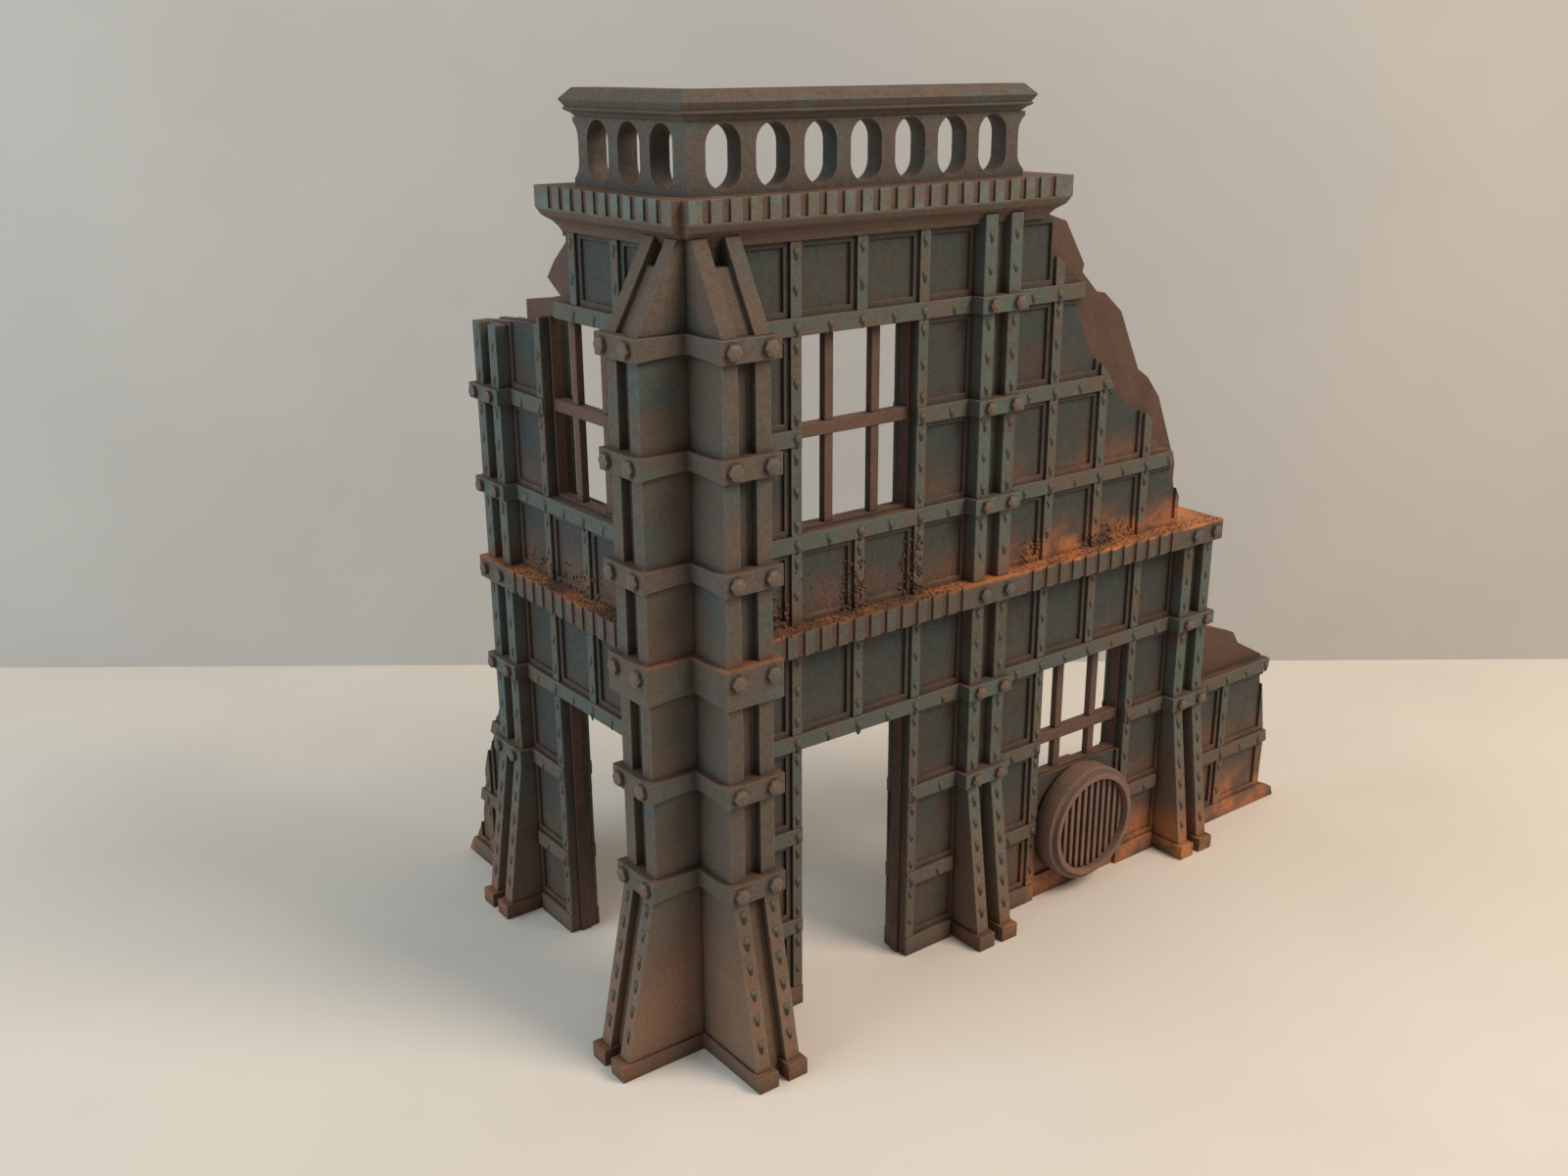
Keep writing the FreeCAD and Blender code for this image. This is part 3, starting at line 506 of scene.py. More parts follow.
BARS = replace(SLAB, name="bar_paint", base=(0.098, 0.054, 0.038), patch=(0.08, 0.046, 0.033),
               rust=0.8)
DRAIN = replace(SLAB, name="drain_paint", base=(0.165, 0.1, 0.075), patch=(0.13, 0.083, 0.064),
                edge=(0.25, 0.155, 0.115), edge_amount=0.5)
BOLT = Finish("bolt_paint", "bolt_copper", (0.12, 0.083, 0.061), (0.082, 0.08, 0.065),
              (0.3, 0.195, 0.135), 0.5, 260.0, 0.5, 0.6, 0.0, 0.8)
COPING = Finish("coping_paint", "coping_iron", (0.078, 0.06, 0.046), (0.068, 0.08, 0.068),
                COPPER, 0.5, 120.0, 0.45, 0.45, 0.0, 0.75, layers=0.9)
CORNICE = Finish("cornice_paint", "coping_iron", (0.105, 0.092, 0.072), (0.105, 0.13, 0.11),
                 PALE_TEAL, 0.6, 140.0, 0.4, 0.9, 0.0, 0.8, layers=0.7, wash_and_shade=RED_BROWN,
                 tooth_face=9.2 * MM)
LEDGE = Finish("ledge_paint", "rusted_iron", (0.08, 0.064, 0.049), (0.066, 0.082, 0.07), COPPER,
               0.5, 130.0, 0.4, 1.35, 0.0, 0.8, layers=0.8, rust_dark=(0.13, 0.058, 0.031),
               rust_bright=(0.45, 0.165, 0.052), tooth_face=9.0 * MM)
PLINTH = replace(LEDGE, name="plinth_paint", tooth_face=0.0, base=(0.1, 0.07, 0.048),
                 patch=(0.11, 0.066, 0.042), low_amount=0.5)
RIVET = replace(BOLT, name="rivet_paint", base=(0.075, 0.08, 0.067), patch=(0.1, 0.073, 0.054),
                edge=(0.26, 0.185, 0.14), edge_amount=0.7)
GRIT = Finish("rust_grit", "rusted_iron", (0.1, 0.046, 0.025), (0.045, 0.028, 0.02),
              (0.2, 0.1, 0.05), 0.5, 300.0, 0.25, 0.8, 0.0, 0.8)
# Colour of the teardrops below the rivets: partly washed-in paint, partly the painted shadow of each
# rivet.
WASH_AND_SHADOW = Finish("dark_wash_and_shadow", "pier_iron", (0.03, 0.022, 0.017), (0.038, 0.028, 0.021),
              (0.035, 0.026, 0.019), 0.5, 300.0, 0.1, 0.1, 0.0, 0.3)


def finish_for(node: str) -> Finish:
    """Chooses the finish of a piece.

    Args:
        node: the name of its node in the frame.

    Returns:
        Its finish.
    """
    parts = (("_core", SLAB), ("window_bars", BARS), ("_facing", PANEL), ("_lining", PANEL),
             ("_rails", FRAME), ("_studs", FRAME), ("_inner_frame", FRAME), ("bolts", BOLT),
             ("straps", STRAP), ("bands", PILASTER), ("drain", DRAIN), ("tenons", SLAB),
             ("ledge", LEDGE), ("plinth", PLINTH), ("cornice", CORNICE), ("balustrade", COPING),
             ("cap_rail", COPING), ("buttress_cap", CAPS), ("pilaster", PILASTER))
    for part, finish in parts:
        if part in node:
            return finish
    return BUTTRESS


class Paints:
    """Builds each finish once, when it is first used."""

    def __init__(self, effects: Effects) -> None:
        """Keeps the shared effects."""
        self.effects = effects
        self.made: dict[str, Material] = {}

    def get(self, finish: Finish) -> Material:
        """The material of a finish.

        Args:
            finish: which one.

        Returns:
            Its material.
        """
        if finish.name not in self.made:
            self.made[finish.name] = finish.build(self.effects)
        return self.made[finish.name]


# ---------------------------------------------------------------- mesh helpers
def link(name: str, mesh: Mesh) -> Object:
    """Puts a mesh in the scene.

    Args:
        name: its name and its object's.
        mesh: the mesh.

    Returns:
        Its object.
    """
    mesh.name = name
    obj = bpy.data.objects.new(name, mesh)
    bpy.context.scene.collection.objects.link(obj)
    return obj


def merged_copy(node: Object) -> bmesh.types.BMesh:
    """Welds a copy of a frame node and joins up its flat faces.

    Args:
        node: the node.

    Returns:
        The copy.
    """
    bm = bmesh.new()
    bm.from_mesh(node.data)
    bmesh.ops.remove_doubles(bm, verts=bm.verts, dist=1e-6)
    bmesh.ops.dissolve_limit(bm, angle_limit=math.radians(0.5), verts=bm.verts, edges=bm.edges)
    return bm


def baked(obj: Object) -> Object:
    """Replaces an object's mesh by its evaluated one and clears its modifiers.

    Args:
        obj: the object.

    Returns:
        The same object.
    """
    graph = bpy.context.evaluated_depsgraph_get()
    graph.update()
    mesh = bpy.data.meshes.new_from_object(obj.evaluated_get(graph))
    old = obj.data
    obj.modifiers.clear()
    obj.data = mesh
    mesh.name = obj.name
    bpy.data.meshes.remove(old)
    return obj


def tree_of(nodes: list[Object]) -> BVHTree:
    """Makes one search tree over several frame nodes.

    Args:
        nodes: their objects.

    Returns:
        The tree.
    """
    points, faces = [], []
    for node in nodes:
        start = len(points)
        points += [vertex.co.copy() for vertex in node.data.vertices]
        faces += [tuple(start + i for i in polygon.vertices) for polygon in node.data.polygons]
    return BVHTree.FromPolygons(points, faces)


@dataclass
class SoftenedPieces:
    """Frame nodes whose edges are rounded as on a printed and painted casting."""

    width: float = 0.22 * MM
    segments: int = 2
    angle: float = 38.0

    def build(self, frame: dict, paints: Paints) -> None:
        """Replaces every node by a softened, painted copy.

        Args:
            paints: the finishes.
        """
        for name, node in frame["nodes"].items():
            bm = merged_copy(node)
            mesh = bpy.data.meshes.new(name)
            bm.to_mesh(mesh)
            bm.free()
            piece = link(name + "_painted", mesh)
            bevel = piece.modifiers.new("soft_edges", "BEVEL")
            bevel.width = self.width
            bevel.segments = self.segments
            bevel.limit_method = "ANGLE"
            bevel.angle_limit = math.radians(self.angle)
            bevel.use_clamp_overlap = True
            bevel.harden_normals = False
            baked(piece)
            finish = finish_for(name)
            piece.data.materials.clear()
            piece.data.materials.append(paints.get(finish))
            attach(piece, node["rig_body"])
            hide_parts(name)
        LOG.info("softened %d pieces", len(frame["nodes"]))


# ---------------------------------------------------------------- rivets
@dataclass
class RivetRows:
    """Rivets on rails, studs and flanges, with a dark teardrop below each one that is partly
    washed-in paint and partly painted shadow.
    """

    grid: Grid
    radius: float = 0.8 * MM
    big_radius: float = 1.02 * MM
    foot_radius: float = 0.95 * MM
    facing: float = 0.75
    margin: float = 1.1
    flatness: float = 0.25 * MM
    row_pitch: float = 8.1 * MM
    row_start: float = 2.3 * MM
    foot_pitch: float = 6.4 * MM
    reach: float = 60 * MM
    places: dict[Body, list[Place]] = field(
        default_factory=lambda: {body: [] for body in Body})

    def land(self, body: Body, trees: dict[Body, BVHTree], start: Vector, way: Vector,
             radius: float) -> None:
        """Adds a rivet where a ray meets the right kind of face.

        Args:
            body: the storey that the rivet goes with.
            trees: what may carry rivets, for each storey.
            start: where the ray starts, outside the wall.
            way: its direction, into the wall.
            radius: the rivet's radius.
        """
        hit, normal, _, _ = trees[body].ray_cast(start, way, self.reach)
        if hit is None or normal.dot(way) > -self.facing:
            return
        side, rim = way.cross(Vector((0, 0, 1))), radius * self.margin
        for step in (side * rim, -side * rim, Vector((0, 0, rim)), Vector((0, 0, -rim))):
            near, _, _, _ = trees[body].ray_cast(start + step, way, self.reach)
            if near is None or abs((near - hit).dot(normal)) > self.flatness:
                return
        self.places[body].append((hit, normal, radius))

    def body_at(self, height: float) -> Body:
        """The storey at a height."""
        return Body.GROUND if height < self.grid.seam else Body.UPPER

    def column(self, side: Side, trees: dict[Body, BVHTree], along: float, inner: bool,
               first: int = 0) -> None:
        """Puts rivets up one stud, three in each row of panels.

        Args:
            side: the wall.
            trees: what may carry rivets, for each storey.
            along: the stud's middle along the wall.
            inner: whether it is inside the building.
            first: the lowest row that has any.
        """
        for low, high in self.grid.rows()[first:]:
            up = high - self.row_start
            while up > low + self.radius:
                self.shoot(side, trees, along, up, inner, self.radius)
                up -= self.row_pitch

    def shoot(self, side: Side, trees: dict[Body, BVHTree], along: float, up: float, inner: bool,
              radius: float) -> None:
        """Sends one ray at the wall.

        Args:
            side: the wall.
            trees: what may carry rivets, for each storey.
            along: the ray's place along the wall.
            up: its height.
            inner: whether it comes from inside the building.
            radius: the rivet's radius.
        """
        way = side.inward() * (-1 if inner else 1)
        depth = 2 * self.grid.half_wall + 20 * MM if inner else -40 * MM
        self.land(self.body_at(up), trees, side.point(along, depth, up, self.grid), way, radius)

    def lay_out(self, frame: dict) -> None:
        """Finds the place of every rivet.
        """
        grid = self.grid
        for side in Side:
            studs = self.trees(frame, side, ("_studs",))
            rails = self.trees(frame, side, ("_rails",))
            inside = self.trees(frame, side, ("_inner_frame",))
            for bay in (0, 1, 2):
                middle = grid.bay_middle(bay)
                for k in range(-4, 5):
                    along = middle + k * grid.stud_pitch / 2
                    big = k % 2 == 0
                    if big and abs(k) < 4:
                        self.column(side, studs, along, False)
                        self.column(side, inside, along, True)
                    for up in grid.rail_middles():
                        radius = self.big_radius if big else self.radius
                        self.shoot(side, rails, along, up, False, radius)
                        self.shoot(side, inside, along, up, True, radius)
            self.lay_out_piers(frame, side)

    def lay_out_piers(self, frame: dict, side: Side) -> None:
        """Puts rivets up the pilasters' flanges and the flared feet.

        Args:
            side: the wall.
        """
        grid = self.grid
        piers = self.trees(frame, side, ("pilaster", "buttress_foot"))
        flared_top = 2 * grid.level - grid.rail
        for pier in range(3):
            for edge in (grid.flange / 2, grid.pier_width - grid.flange / 2):
                along = pier * grid.pier_pitch + edge
                if pier:
                    self.column(side, piers, along, False, 2)
                up = flared_top - 1.6 * self.row_start
                while up > 7 * MM:
                    self.shoot(side, piers, along, up, False, self.foot_radius)
                    up -= self.foot_pitch

    def trees(self, frame: dict, side: Side, kinds: tuple[str, ...]) -> dict[Body, BVHTree]:
        """Makes search trees over some nodes of one wall.

        Args:
            side: the wall.
            kinds: words that their names have.

        Returns:
            A tree for each storey.
        """
        other = "side" if side is Side.FRONT else "front"
        found = {}
        for body in Body:
            nodes = [node for name, node in frame["nodes"].items()
                     if node["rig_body"] == body.value and any(kind in name for kind in kinds)
                     and other not in name and ("end_" not in name or side is Side.FRONT)]
            found[body] = tree_of(nodes)
        return found

    def build(self, frame: dict, paints: Paints) -> None:
        """Makes each storey's rivets as one mesh, and their washes and painted shadows as another.

        Args:
            paints: the finishes.
        """
        self.lay_out(frame)
        for body, places in self.places.items():
            rivets = rivet_tree(paints.get(RIVET))
            washes_and_shadows = wash_and_shadow_tree(paints.get(WASH_AND_SHADOW))
            for kind, tree, finish in (("rivets", rivets, RIVET), ("rivet_wash_and_shadow", washes_and_shadows, WASH_AND_SHADOW)):
                piece = scatter(body.value + "_" + kind, places, tree, paints.get(finish))
                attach(piece, body.value)
            LOG.info("%s: %d rivets", body.value, len(places))


def points_mesh(name: str, places: list[Place]) -> Object:
    """Makes a vertex for each instance.

    Args:
        name: the object's name.
        places: place, outward direction and radius of each.

    Returns:
        The object.
    """
    mesh = bpy.data.meshes.new(name)
    mesh.from_pydata([tuple(place) for place, _, _ in places], [], [])
    mesh.attributes.new("outward", "FLOAT_VECTOR", "POINT")
    mesh.attributes.new("radius", "FLOAT", "POINT")
    outward, radius = mesh.attributes["outward"], mesh.attributes["radius"]
    outward.data.foreach_set("vector", [value for _, normal, _ in places for value in normal])
    radius.data.foreach_set("value", [size for _, _, size in places])
    return link(name, mesh)


def scatter(name: str, places: list[Place], tree: NodeTree, material: Material) -> Object:
    """Runs an instancing tree over points and keeps the result as a plain mesh.

    Args:
        name: the piece's name.
        places: place, outward direction and radius of each instance.
        tree: the instancing tree.
        material: the piece's material.

    Returns:
        The piece.
    """
    piece = points_mesh(name, places)
    modifier = piece.modifiers.new("instances", "NODES")
    modifier.node_group = tree
    baked(piece)
    piece.data.materials.clear()
    piece.data.materials.append(material)
    for attribute in [a for a in piece.data.attributes if a.name in ("outward", "radius")]:
        piece.data.attributes.remove(attribute)
    return piece


def new_geometry_tree(name: str, inputs: dict[str, float]) -> tuple[Tree, Node, Node]:
    """Starts a geometry tree.

    Args:
        name: its name.
        inputs: default value of each of its numbers.

    Returns:
        The tree and its input and output nodes.
    """
    group = bpy.data.node_groups.new(name, "GeometryNodeTree")
    group.interface.new_socket("Geometry", in_out="INPUT", socket_type="NodeSocketGeometry")
    for key, value in inputs.items():
        kind = "NodeSocketInt" if isinstance(value, int) else "NodeSocketFloat"
        group.interface.new_socket(key, in_out="INPUT", socket_type=kind).default_value = value
    group.interface.new_socket("Geometry", in_out="OUTPUT", socket_type="NodeSocketGeometry")
    tree = Tree(group)
    return tree, tree.node("NodeGroupInput"), tree.node("NodeGroupOutput")


def named(tree: Tree, name: str, kind: str) -> NodeSocket:
    """Reads an attribute in a geometry tree."""
    node = tree.node("GeometryNodeInputNamedAttribute", {"Name": name}, data_type=kind)
    return node.outputs["Attribute"]


def ball(tree: Tree, size: dict[int, Value], shift: dict[int, Value]) -> NodeSocket:
    """Makes a squashed ball.

    Args:
        tree: the tree.
        size: its three half sizes; the last is outwards.
        shift: its centre.

    Returns:
        Its mesh.
    """
    round_ball = tree.node("GeometryNodeMeshUVSphere", {"Segments": 10, "Rings": 6, "Radius": 1.0})
    shaped = tree.node("GeometryNodeTransform",
                       {"Geometry": round_ball.outputs[0],
                        "Translation": tree.node("ShaderNodeCombineXYZ", shift).outputs[0],
                        "Scale": tree.node("ShaderNodeCombineXYZ", size).outputs[0]})
    return shaped.outputs[0]


def instances(tree: Tree, ends: tuple[Node, Node], shape: NodeSocket, turn: NodeSocket,
              spread: tuple[Value, Value], material: Material) -> NodeTree:
    """Ends a tree with a shape at each point, of nearly the point's radius.

    Args:
        tree: the tree.
        ends: its input and output nodes.
        shape: the mesh that is repeated.
        turn: its rotation.
        spread: least and greatest share of the radius.
        material: the material.

    Returns:
        The finished tree.
    """
    given, out = ends
    jitter = tree.node("FunctionNodeRandomValue",
                       {2: spread[0], 3: spread[1], "Seed": given.outputs["Seed"]},
                       data_type="FLOAT")
    scale = tree.math("MULTIPLY", named(tree, "radius", "FLOAT"), jitter.outputs[1])
    placed = tree.node("GeometryNodeInstanceOnPoints",
                       {"Points": given.outputs[0], "Instance": shape, "Rotation": turn,
                        "Scale": scale})
    finish_tree(tree, placed.outputs[0], material, out)
    return tree.tree


def rivet_tree(material: Material) -> NodeTree:
    """Domed rivet heads, each with a small random size.

    Args:
        material: their material.

    Returns:
        The tree.
    """
    tree, given, out = new_geometry_tree("rivet_heads", {"Height": 0.62, "Spread": 0.12, "Seed": 7})
    dome = ball(tree, {0: 1.0, 1: 1.0, 2: given.outputs["Height"]}, {})
    turn = tree.node("FunctionNodeAlignRotationToVector",
                     {"Vector": named(tree, "outward", "FLOAT_VECTOR")}, axis="Z")
    spread = (tree.math("SUBTRACT", 1.0, given.outputs["Spread"]),
              tree.math("ADD", 1.0, given.outputs["Spread"]))
    return instances(tree, (given, out), dome, turn.outputs[0], spread, material)


def wash_and_shadow_tree(material: Material) -> NodeTree:
    """A thin dark teardrop below each rivet: partly washed-in paint, partly the rivet's painted
    shadow.

    Args:
        material: their material.

    Returns:
        The tree.
    """
    sizes = {"Length": 1.6, "Width": 0.8, "Thickness": 0.06, "Drop": 1.2, "Seed": 11}
    tree, given, out = new_geometry_tree("rivet_wash_and_shadow", sizes)
    drop = tree.math("MULTIPLY", given.outputs["Drop"], -1.0)
    drip_and_shadow = ball(tree, {0: given.outputs["Width"], 1: given.outputs["Length"],
                       2: given.outputs["Thickness"]}, {1: drop})
    upright = tree.node("FunctionNodeAlignRotationToVector", {"Vector": (0.0, 0.0, 1.0)}, axis="Y")
    turn = tree.node("FunctionNodeAlignRotationToVector",
                     {"Rotation": upright.outputs[0],
                      "Vector": named(tree, "outward", "FLOAT_VECTOR")}, axis="Z")
    return instances(tree, (given, out), drip_and_shadow, turn.outputs[0], (0.75, 1.05), material)


def finish_tree(tree: Tree, geometry: NodeSocket, material: Material, out: Node) -> None:
    """Ends a tree in Realize Instances and Set Material.

    Args:
        tree: the tree.
        geometry: its instances.
        material: the material.
        out: its output node.
    """
    real = tree.node("GeometryNodeRealizeInstances", {0: geometry})
    painted = tree.node("GeometryNodeSetMaterial", {"Geometry": real.outputs[0]})
    painted.inputs["Material"].default_value = material
    tree.feed(out.inputs[0], painted.outputs[0])


# ---------------------------------------------------------------- grit and rubble
@dataclass(frozen=True)
class GritPatch:
    """A patch on a wall or a ledge where grit has stuck, in wall coordinates."""

    body: Body
    side: Side
    along: tuple[float, float]
    inward: tuple[float, float]
    up: tuple[float, float]
    grains: int
    size: float
    bias: float


@dataclass
class Grit:
    """Rust grit on the ledges and rubble in the corners of the panels."""

    grid: Grid
    seed: int = 23
    sand: float = 0.2 * MM
    lump: float = 0.38 * MM
    trim: float = 1.2 * MM
    drop: float = 3 * MM
    stand_off: float = 8 * MM
    reach: float = 20 * MM

    def patches(self) -> list[GritPatch]:
        """Where the grit lies.

        Returns:
            The patches on the ledge's flat top, then those on the panels' feet.
        """
        top, half = self.grid.ledge_top, self.grid.half_wall * 2
        front, side = Side.FRONT, Side.SIDE
        outer, inner = (-4.2 * MM, self.trim), (half, half + 4 * MM)
        flat = [(front, 15, 84, outer, 620), (front, 98, 182, outer, 760),
                (side, 15, 84, outer, 420), (front, 100, 180, inner, 420)]
        feet = [(front, 18, 28, 8, 130, self.lump, 2.4), (front, 44, 52, 13, 150, self.lump, 2.2),
                (front, 63, 70, 15, 140, self.lump, 2.0), (front, 20, 68, 14, 110, self.sand, 1.4),
                (front, 106, 112, 6, 80, self.lump, 2.0), (front, 128, 150, 5, 150, self.lump, 2.4),
                (side, 40, 80, 6, 110, self.lump, 2.2)]
        found = [GritPatch(Body.UPPER, wall, (start * MM, end * MM), depth, (top, top), grains,
                           self.sand, 1) for wall, start, end, depth, grains in flat]
        for wall, start, end, rise, grains, size, bias in feet:
            found.append(GritPatch(Body.UPPER, wall, (start * MM, end * MM), (self.trim, self.trim),
                                   (top, top + rise * MM), grains, size, bias))
        return found

    def places(self, frame: dict, body: Body) -> list[Place]:
        """Drops the grains of one storey onto its faces.

        Args:
            body: the storey.

        Returns:
            Place, outward direction and radius of each grain.
        """
        rng = random.Random(self.seed + len(body.value))
        nodes = [node for node in frame["nodes"].values() if node["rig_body"] == body.value]
        tree = tree_of(nodes)
        found = []
        for patch in self.patches():
            if patch.body is not body:
                continue
            for _ in range(patch.grains):
                along = rng.uniform(*patch.along)
                share = rng.random() ** patch.bias
                up = patch.up[0] + share * (patch.up[1] - patch.up[0])
                inward = rng.uniform(*patch.inward)
                flat = patch.up[0] == patch.up[1]
                way = Vector((0, 0, -1)) if flat else patch.side.inward()
                start = patch.side.point(along, inward if flat else -self.stand_off,
                                         up + (self.drop if flat else 0), self.grid)
                hit, normal, _, _ = tree.ray_cast(start, way, self.reach)
                if hit is not None:
                    found.append((hit, normal, patch.size * rng.uniform(0.5, 1.5)))
        return found

    def build(self, frame: dict, paints: Paints) -> None:
        """Makes the grit of each storey as one mesh.

        Args:
            paints: the finishes.
        """
        tree = grain_tree(paints.get(GRIT))
        for body in Body:
            places = self.places(frame, body)
            if places:
                piece = scatter(body.value + "_grit", places, tree, paints.get(GRIT))
                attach(piece, body.value)
            LOG.info("%s: %d grains", body.value, len(places))


def grain_tree(material: Material) -> NodeTree:
    """Small angular grains, turned and stretched at random.

    Args:
        material: their material.

    Returns:
        The tree.
    """
    tree, given, out = new_geometry_tree("grit_grains", {"Stretch": 0.45, "Seed": 5})
    lump = tree.node("GeometryNodeMeshIcoSphere", {"Radius": 1.0, "Subdivisions": 1})
    wobble = tree.node("ShaderNodeTexNoise", {"Scale": 1.7, "Detail": 2.0})
    inner = tree.node("ShaderNodeVectorMath", {0: wobble.outputs["Color"], 1: (0.5, 0.5, 0.5)},
                      operation="SUBTRACT")
    shaped = tree.node("GeometryNodeSetPosition", {"Geometry": lump.outputs[0],
                                                   "Offset": inner.outputs[0]})
    low = tree.math("SUBTRACT", 1.0, given.outputs["Stretch"])
    high = tree.math("ADD", 1.0, given.outputs["Stretch"])
    lows = tree.node("ShaderNodeCombineXYZ", {0: low, 1: low, 2: low})
    highs = tree.node("ShaderNodeCombineXYZ", {0: high, 1: high, 2: high})
    stretch = tree.node("FunctionNodeRandomValue", {0: lows.outputs[0], 1: highs.outputs[0],
                                                    "Seed": given.outputs["Seed"]},
                        data_type="FLOAT_VECTOR")
    turns = tree.node("FunctionNodeRandomValue", {0: (0.0, 0.0, 0.0), 1: (6.28, 6.28, 6.28),
                                                  "Seed": given.outputs["Seed"]},
                      data_type="FLOAT_VECTOR")
    turn = tree.node("FunctionNodeEulerToRotation", {0: turns.outputs[0]})
    radius = named(tree, "radius", "FLOAT")
    radii = tree.node("ShaderNodeCombineXYZ", {0: radius, 1: radius, 2: radius})
    scale = tree.node("ShaderNodeVectorMath", {0: stretch.outputs[0], 1: radii.outputs[0]},
                      operation="MULTIPLY")
    placed = tree.node("GeometryNodeInstanceOnPoints",
                       {"Points": given.outputs[0], "Instance": shaped.outputs[0],
                        "Rotation": turn.outputs[0], "Scale": scale.outputs[0]})
    finish_tree(tree, placed.outputs[0], material, out)
    return tree.tree


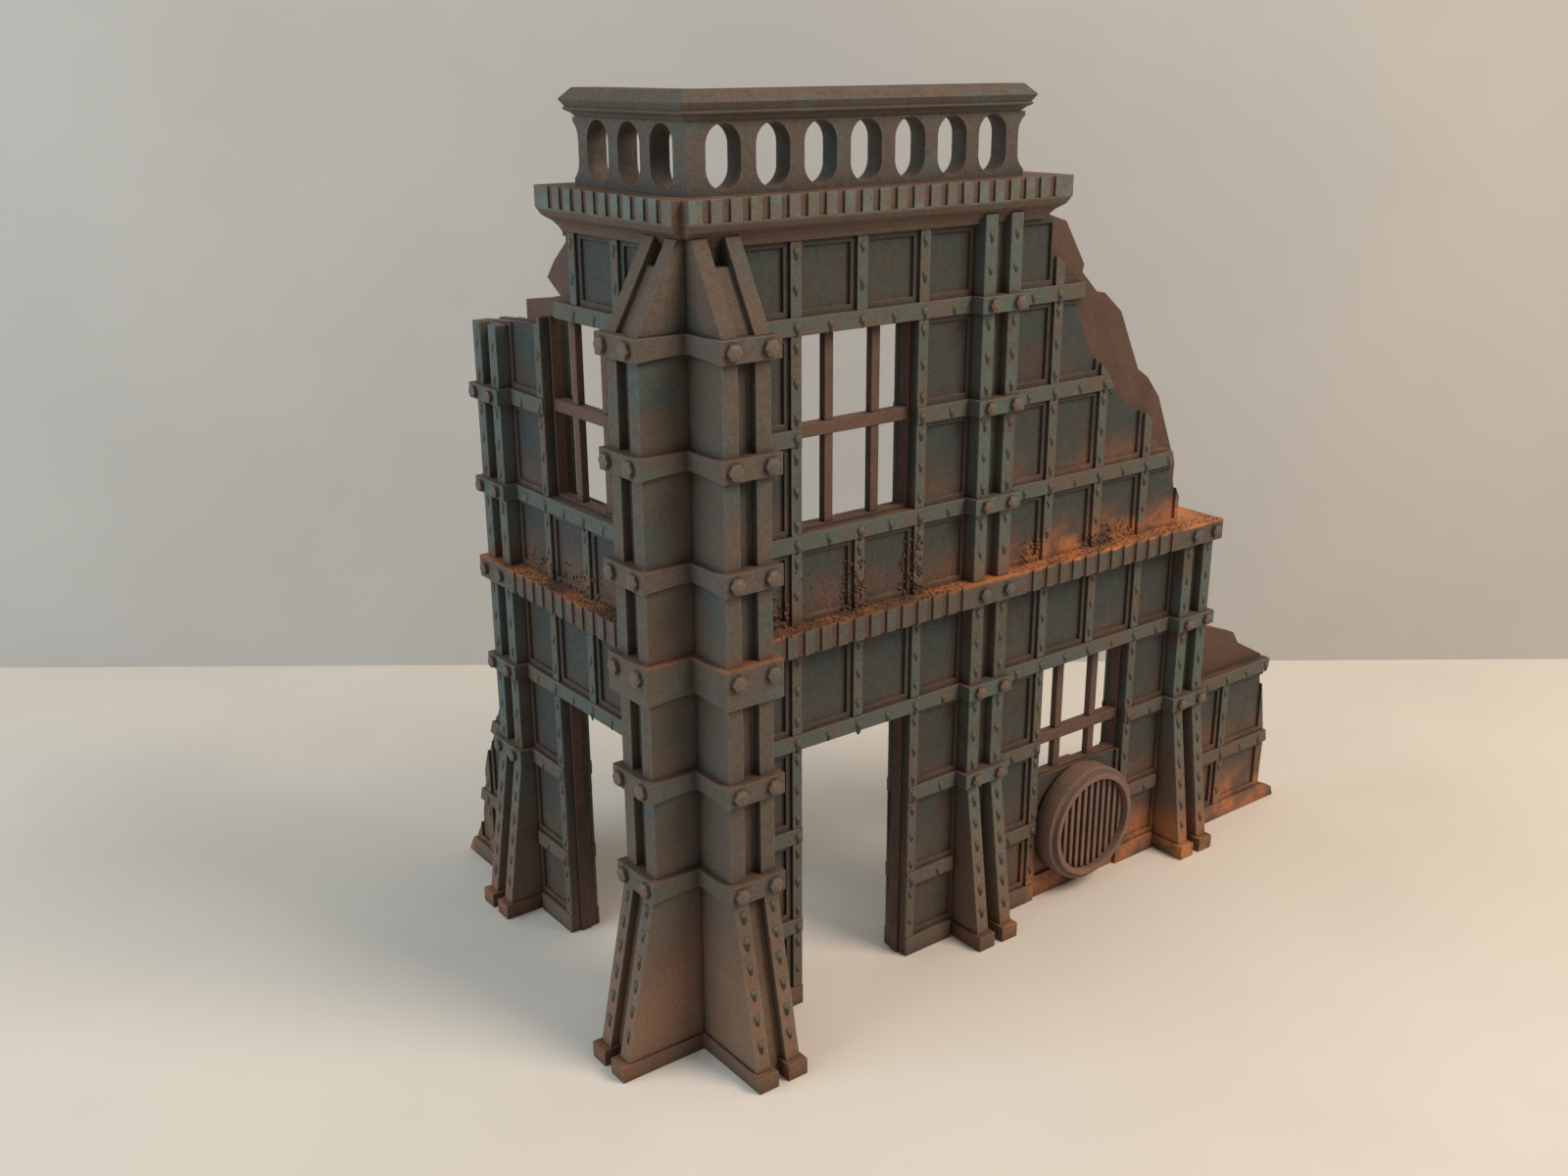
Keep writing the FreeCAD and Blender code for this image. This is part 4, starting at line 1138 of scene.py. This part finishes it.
# ---------------------------------------------------------------- studio
@dataclass
class Studio:
    """Floor, backdrop, lamps and camera."""

    camera_place: Vector = field(default_factory=lambda: Vector((-0.1872, -0.2799, 0.2327)))
    yaw: float = 0.6469963
    pitch: float = 0.3284386
    roll: float = -0.0055995
    lens: float = 35.69
    backdrop_distance: float = 0.588
    floor_color: Color = (0.66, 0.6, 0.53)
    wall_color: Color = (0.46, 0.44, 0.41)
    floor_reach: float = 3.0
    wall_reach: float = 1.6
    wall_height: float = 1.4
    key_power: float = 10.7
    fill_power: float = 7.8
    world_strength: float = 0.43

    def axes(self) -> tuple[Vector, Vector, Vector]:
        """The camera's axes.

        Returns:
            Its right, up and forward directions.
        """
        forward = Vector((math.sin(self.yaw) * math.cos(self.pitch),
                          math.cos(self.yaw) * math.cos(self.pitch), -math.sin(self.pitch)))
        right = Vector((math.cos(self.yaw), -math.sin(self.yaw), 0))
        up = right.cross(forward)
        c, s = math.cos(self.roll), math.sin(self.roll)
        return c * right + s * up, -s * right + c * up, forward

    def camera(self) -> None:
        """Makes the camera."""
        data = bpy.data.cameras.new("camera")
        data.lens = self.lens
        data.sensor_width = 36.0
        data.clip_start, data.clip_end = 0.01, 20.0
        obj = bpy.data.objects.new("camera", data)
        right, up, forward = self.axes()
        turn = Matrix((right, up, -forward)).transposed().to_4x4()
        obj.matrix_world = Matrix.Translation(self.camera_place) @ turn
        bpy.context.scene.collection.objects.link(obj)
        bpy.context.scene.camera = obj

    def sheet(self, name: str, outline: list[Vector], color: Color, one_sided: bool) -> Object:
        """Makes a flat sheet of paper.

        Args:
            name: its name.
            outline: its four corners.
            color: its colour.
            one_sided: whether it is unseen from behind.

        Returns:
            The sheet.
        """
        mesh = bpy.data.meshes.new(name)
        mesh.from_pydata([tuple(corner) for corner in outline], [], [(0, 1, 2, 3)])
        obj = link(name, mesh)
        material = bpy.data.materials.new(name)
        material.use_nodes = True
        material.node_tree.nodes.clear()
        tree = Tree(material.node_tree)
        coords = tree.node("ShaderNodeTexCoord").outputs["Object"]
        fibre = tree.ramp(tree.noise(coords, 9.0, 3.0), 0.3, 0.7, 0.97, 1.03)
        grey = tree.node("ShaderNodeCombineColor", {0: fibre, 1: fibre, 2: fibre})
        shade = tree.mix(1.0, color, grey.outputs[0], "MULTIPLY")
        paper = tree.node("ShaderNodeBsdfPrincipled", {"Base Color": shade, "Roughness": 0.75})
        paper.inputs["Specular IOR Level"].default_value = 0.25
        surface = paper.outputs[0]
        if one_sided:
            behind = tree.node("ShaderNodeNewGeometry").outputs["Backfacing"]
            clear = tree.node("ShaderNodeBsdfTransparent")
            surface = tree.node("ShaderNodeMixShader", {0: behind, 1: surface,
                                                        2: clear.outputs[0]}).outputs[0]
        tree.node("ShaderNodeOutputMaterial", {"Surface": surface})
        mesh.materials.append(material)
        return obj

    def backdrop(self) -> None:
        """Floor and the sheet behind."""
        right = Vector((math.cos(self.yaw), -math.sin(self.yaw), 0))
        ahead = Vector((math.sin(self.yaw), math.cos(self.yaw), 0))
        foot = Vector((self.camera_place.x, self.camera_place.y, 0)) + ahead * self.backdrop_distance
        far, wide = self.floor_reach, right * self.wall_reach
        self.sheet("floor", [Vector((-far, -far, 0)), Vector((far, -far, 0)), Vector((far, far, 0)),
                             Vector((-far, far, 0))], self.floor_color, False)
        rise = Vector((0, 0, self.wall_height))
        self.sheet("backdrop", [foot - wide, foot + wide, foot + wide + rise, foot - wide + rise],
                   self.wall_color, True)

    def lamp(self, name: str, place: Vector, aim: Vector, size: float, power: float,
             color: Color) -> None:
        """A square soft light.

        Args:
            name: the lamp's name.
            place: where it stands.
            aim: what it points at.
            size: its width, in metres.
            power: its power, in watts.
            color: its colour.
        """
        data = bpy.data.lights.new(name, "AREA")
        data.size = size
        data.energy = power
        data.color = color
        obj = bpy.data.objects.new(name, data)
        obj.location = place
        obj.rotation_euler = (aim - place).to_track_quat("-Z", "Y").to_euler()
        bpy.context.scene.collection.objects.link(obj)

    def build(self) -> None:
        """Makes everything that isn't the ruin."""
        self.camera()
        self.backdrop()
        right, _, _ = self.axes()
        ahead = Vector((math.sin(self.yaw), math.cos(self.yaw), 0))
        aim = Vector((0.06, 0.03, 0.09))
        self.lamp("key", aim + right * 0.75 - ahead * 0.35 + Vector((0, 0, 0.75)), aim, 0.5,
                  self.key_power, (1.0, 0.85, 0.7))
        self.lamp("fill", aim - right * 0.9 - ahead * 0.45 + Vector((0, 0, 0.45)), aim, 0.8,
                  self.fill_power, (0.72, 0.89, 1.0))
        world = bpy.data.worlds.new("studio")
        world.use_nodes = True
        background = world.node_tree.nodes["Background"]
        background.inputs["Color"].default_value = (0.86, 0.88, 0.9, 1.0)
        background.inputs["Strength"].default_value = self.world_strength
        bpy.context.scene.world = world
        bpy.context.scene.view_settings.view_transform = "Standard"


def main() -> None:
    """Builds the ruin's looks in order."""
    logging.basicConfig(level=logging.INFO)
    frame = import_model()
    grid = Grid()
    paints = Paints(Effects(grid))
    SoftenedPieces().build(frame, paints)
    RivetRows(grid).build(frame, paints)
    Grit(grid).build(frame, paints)
    Studio().build()


if __name__ == "__main__":
    main()
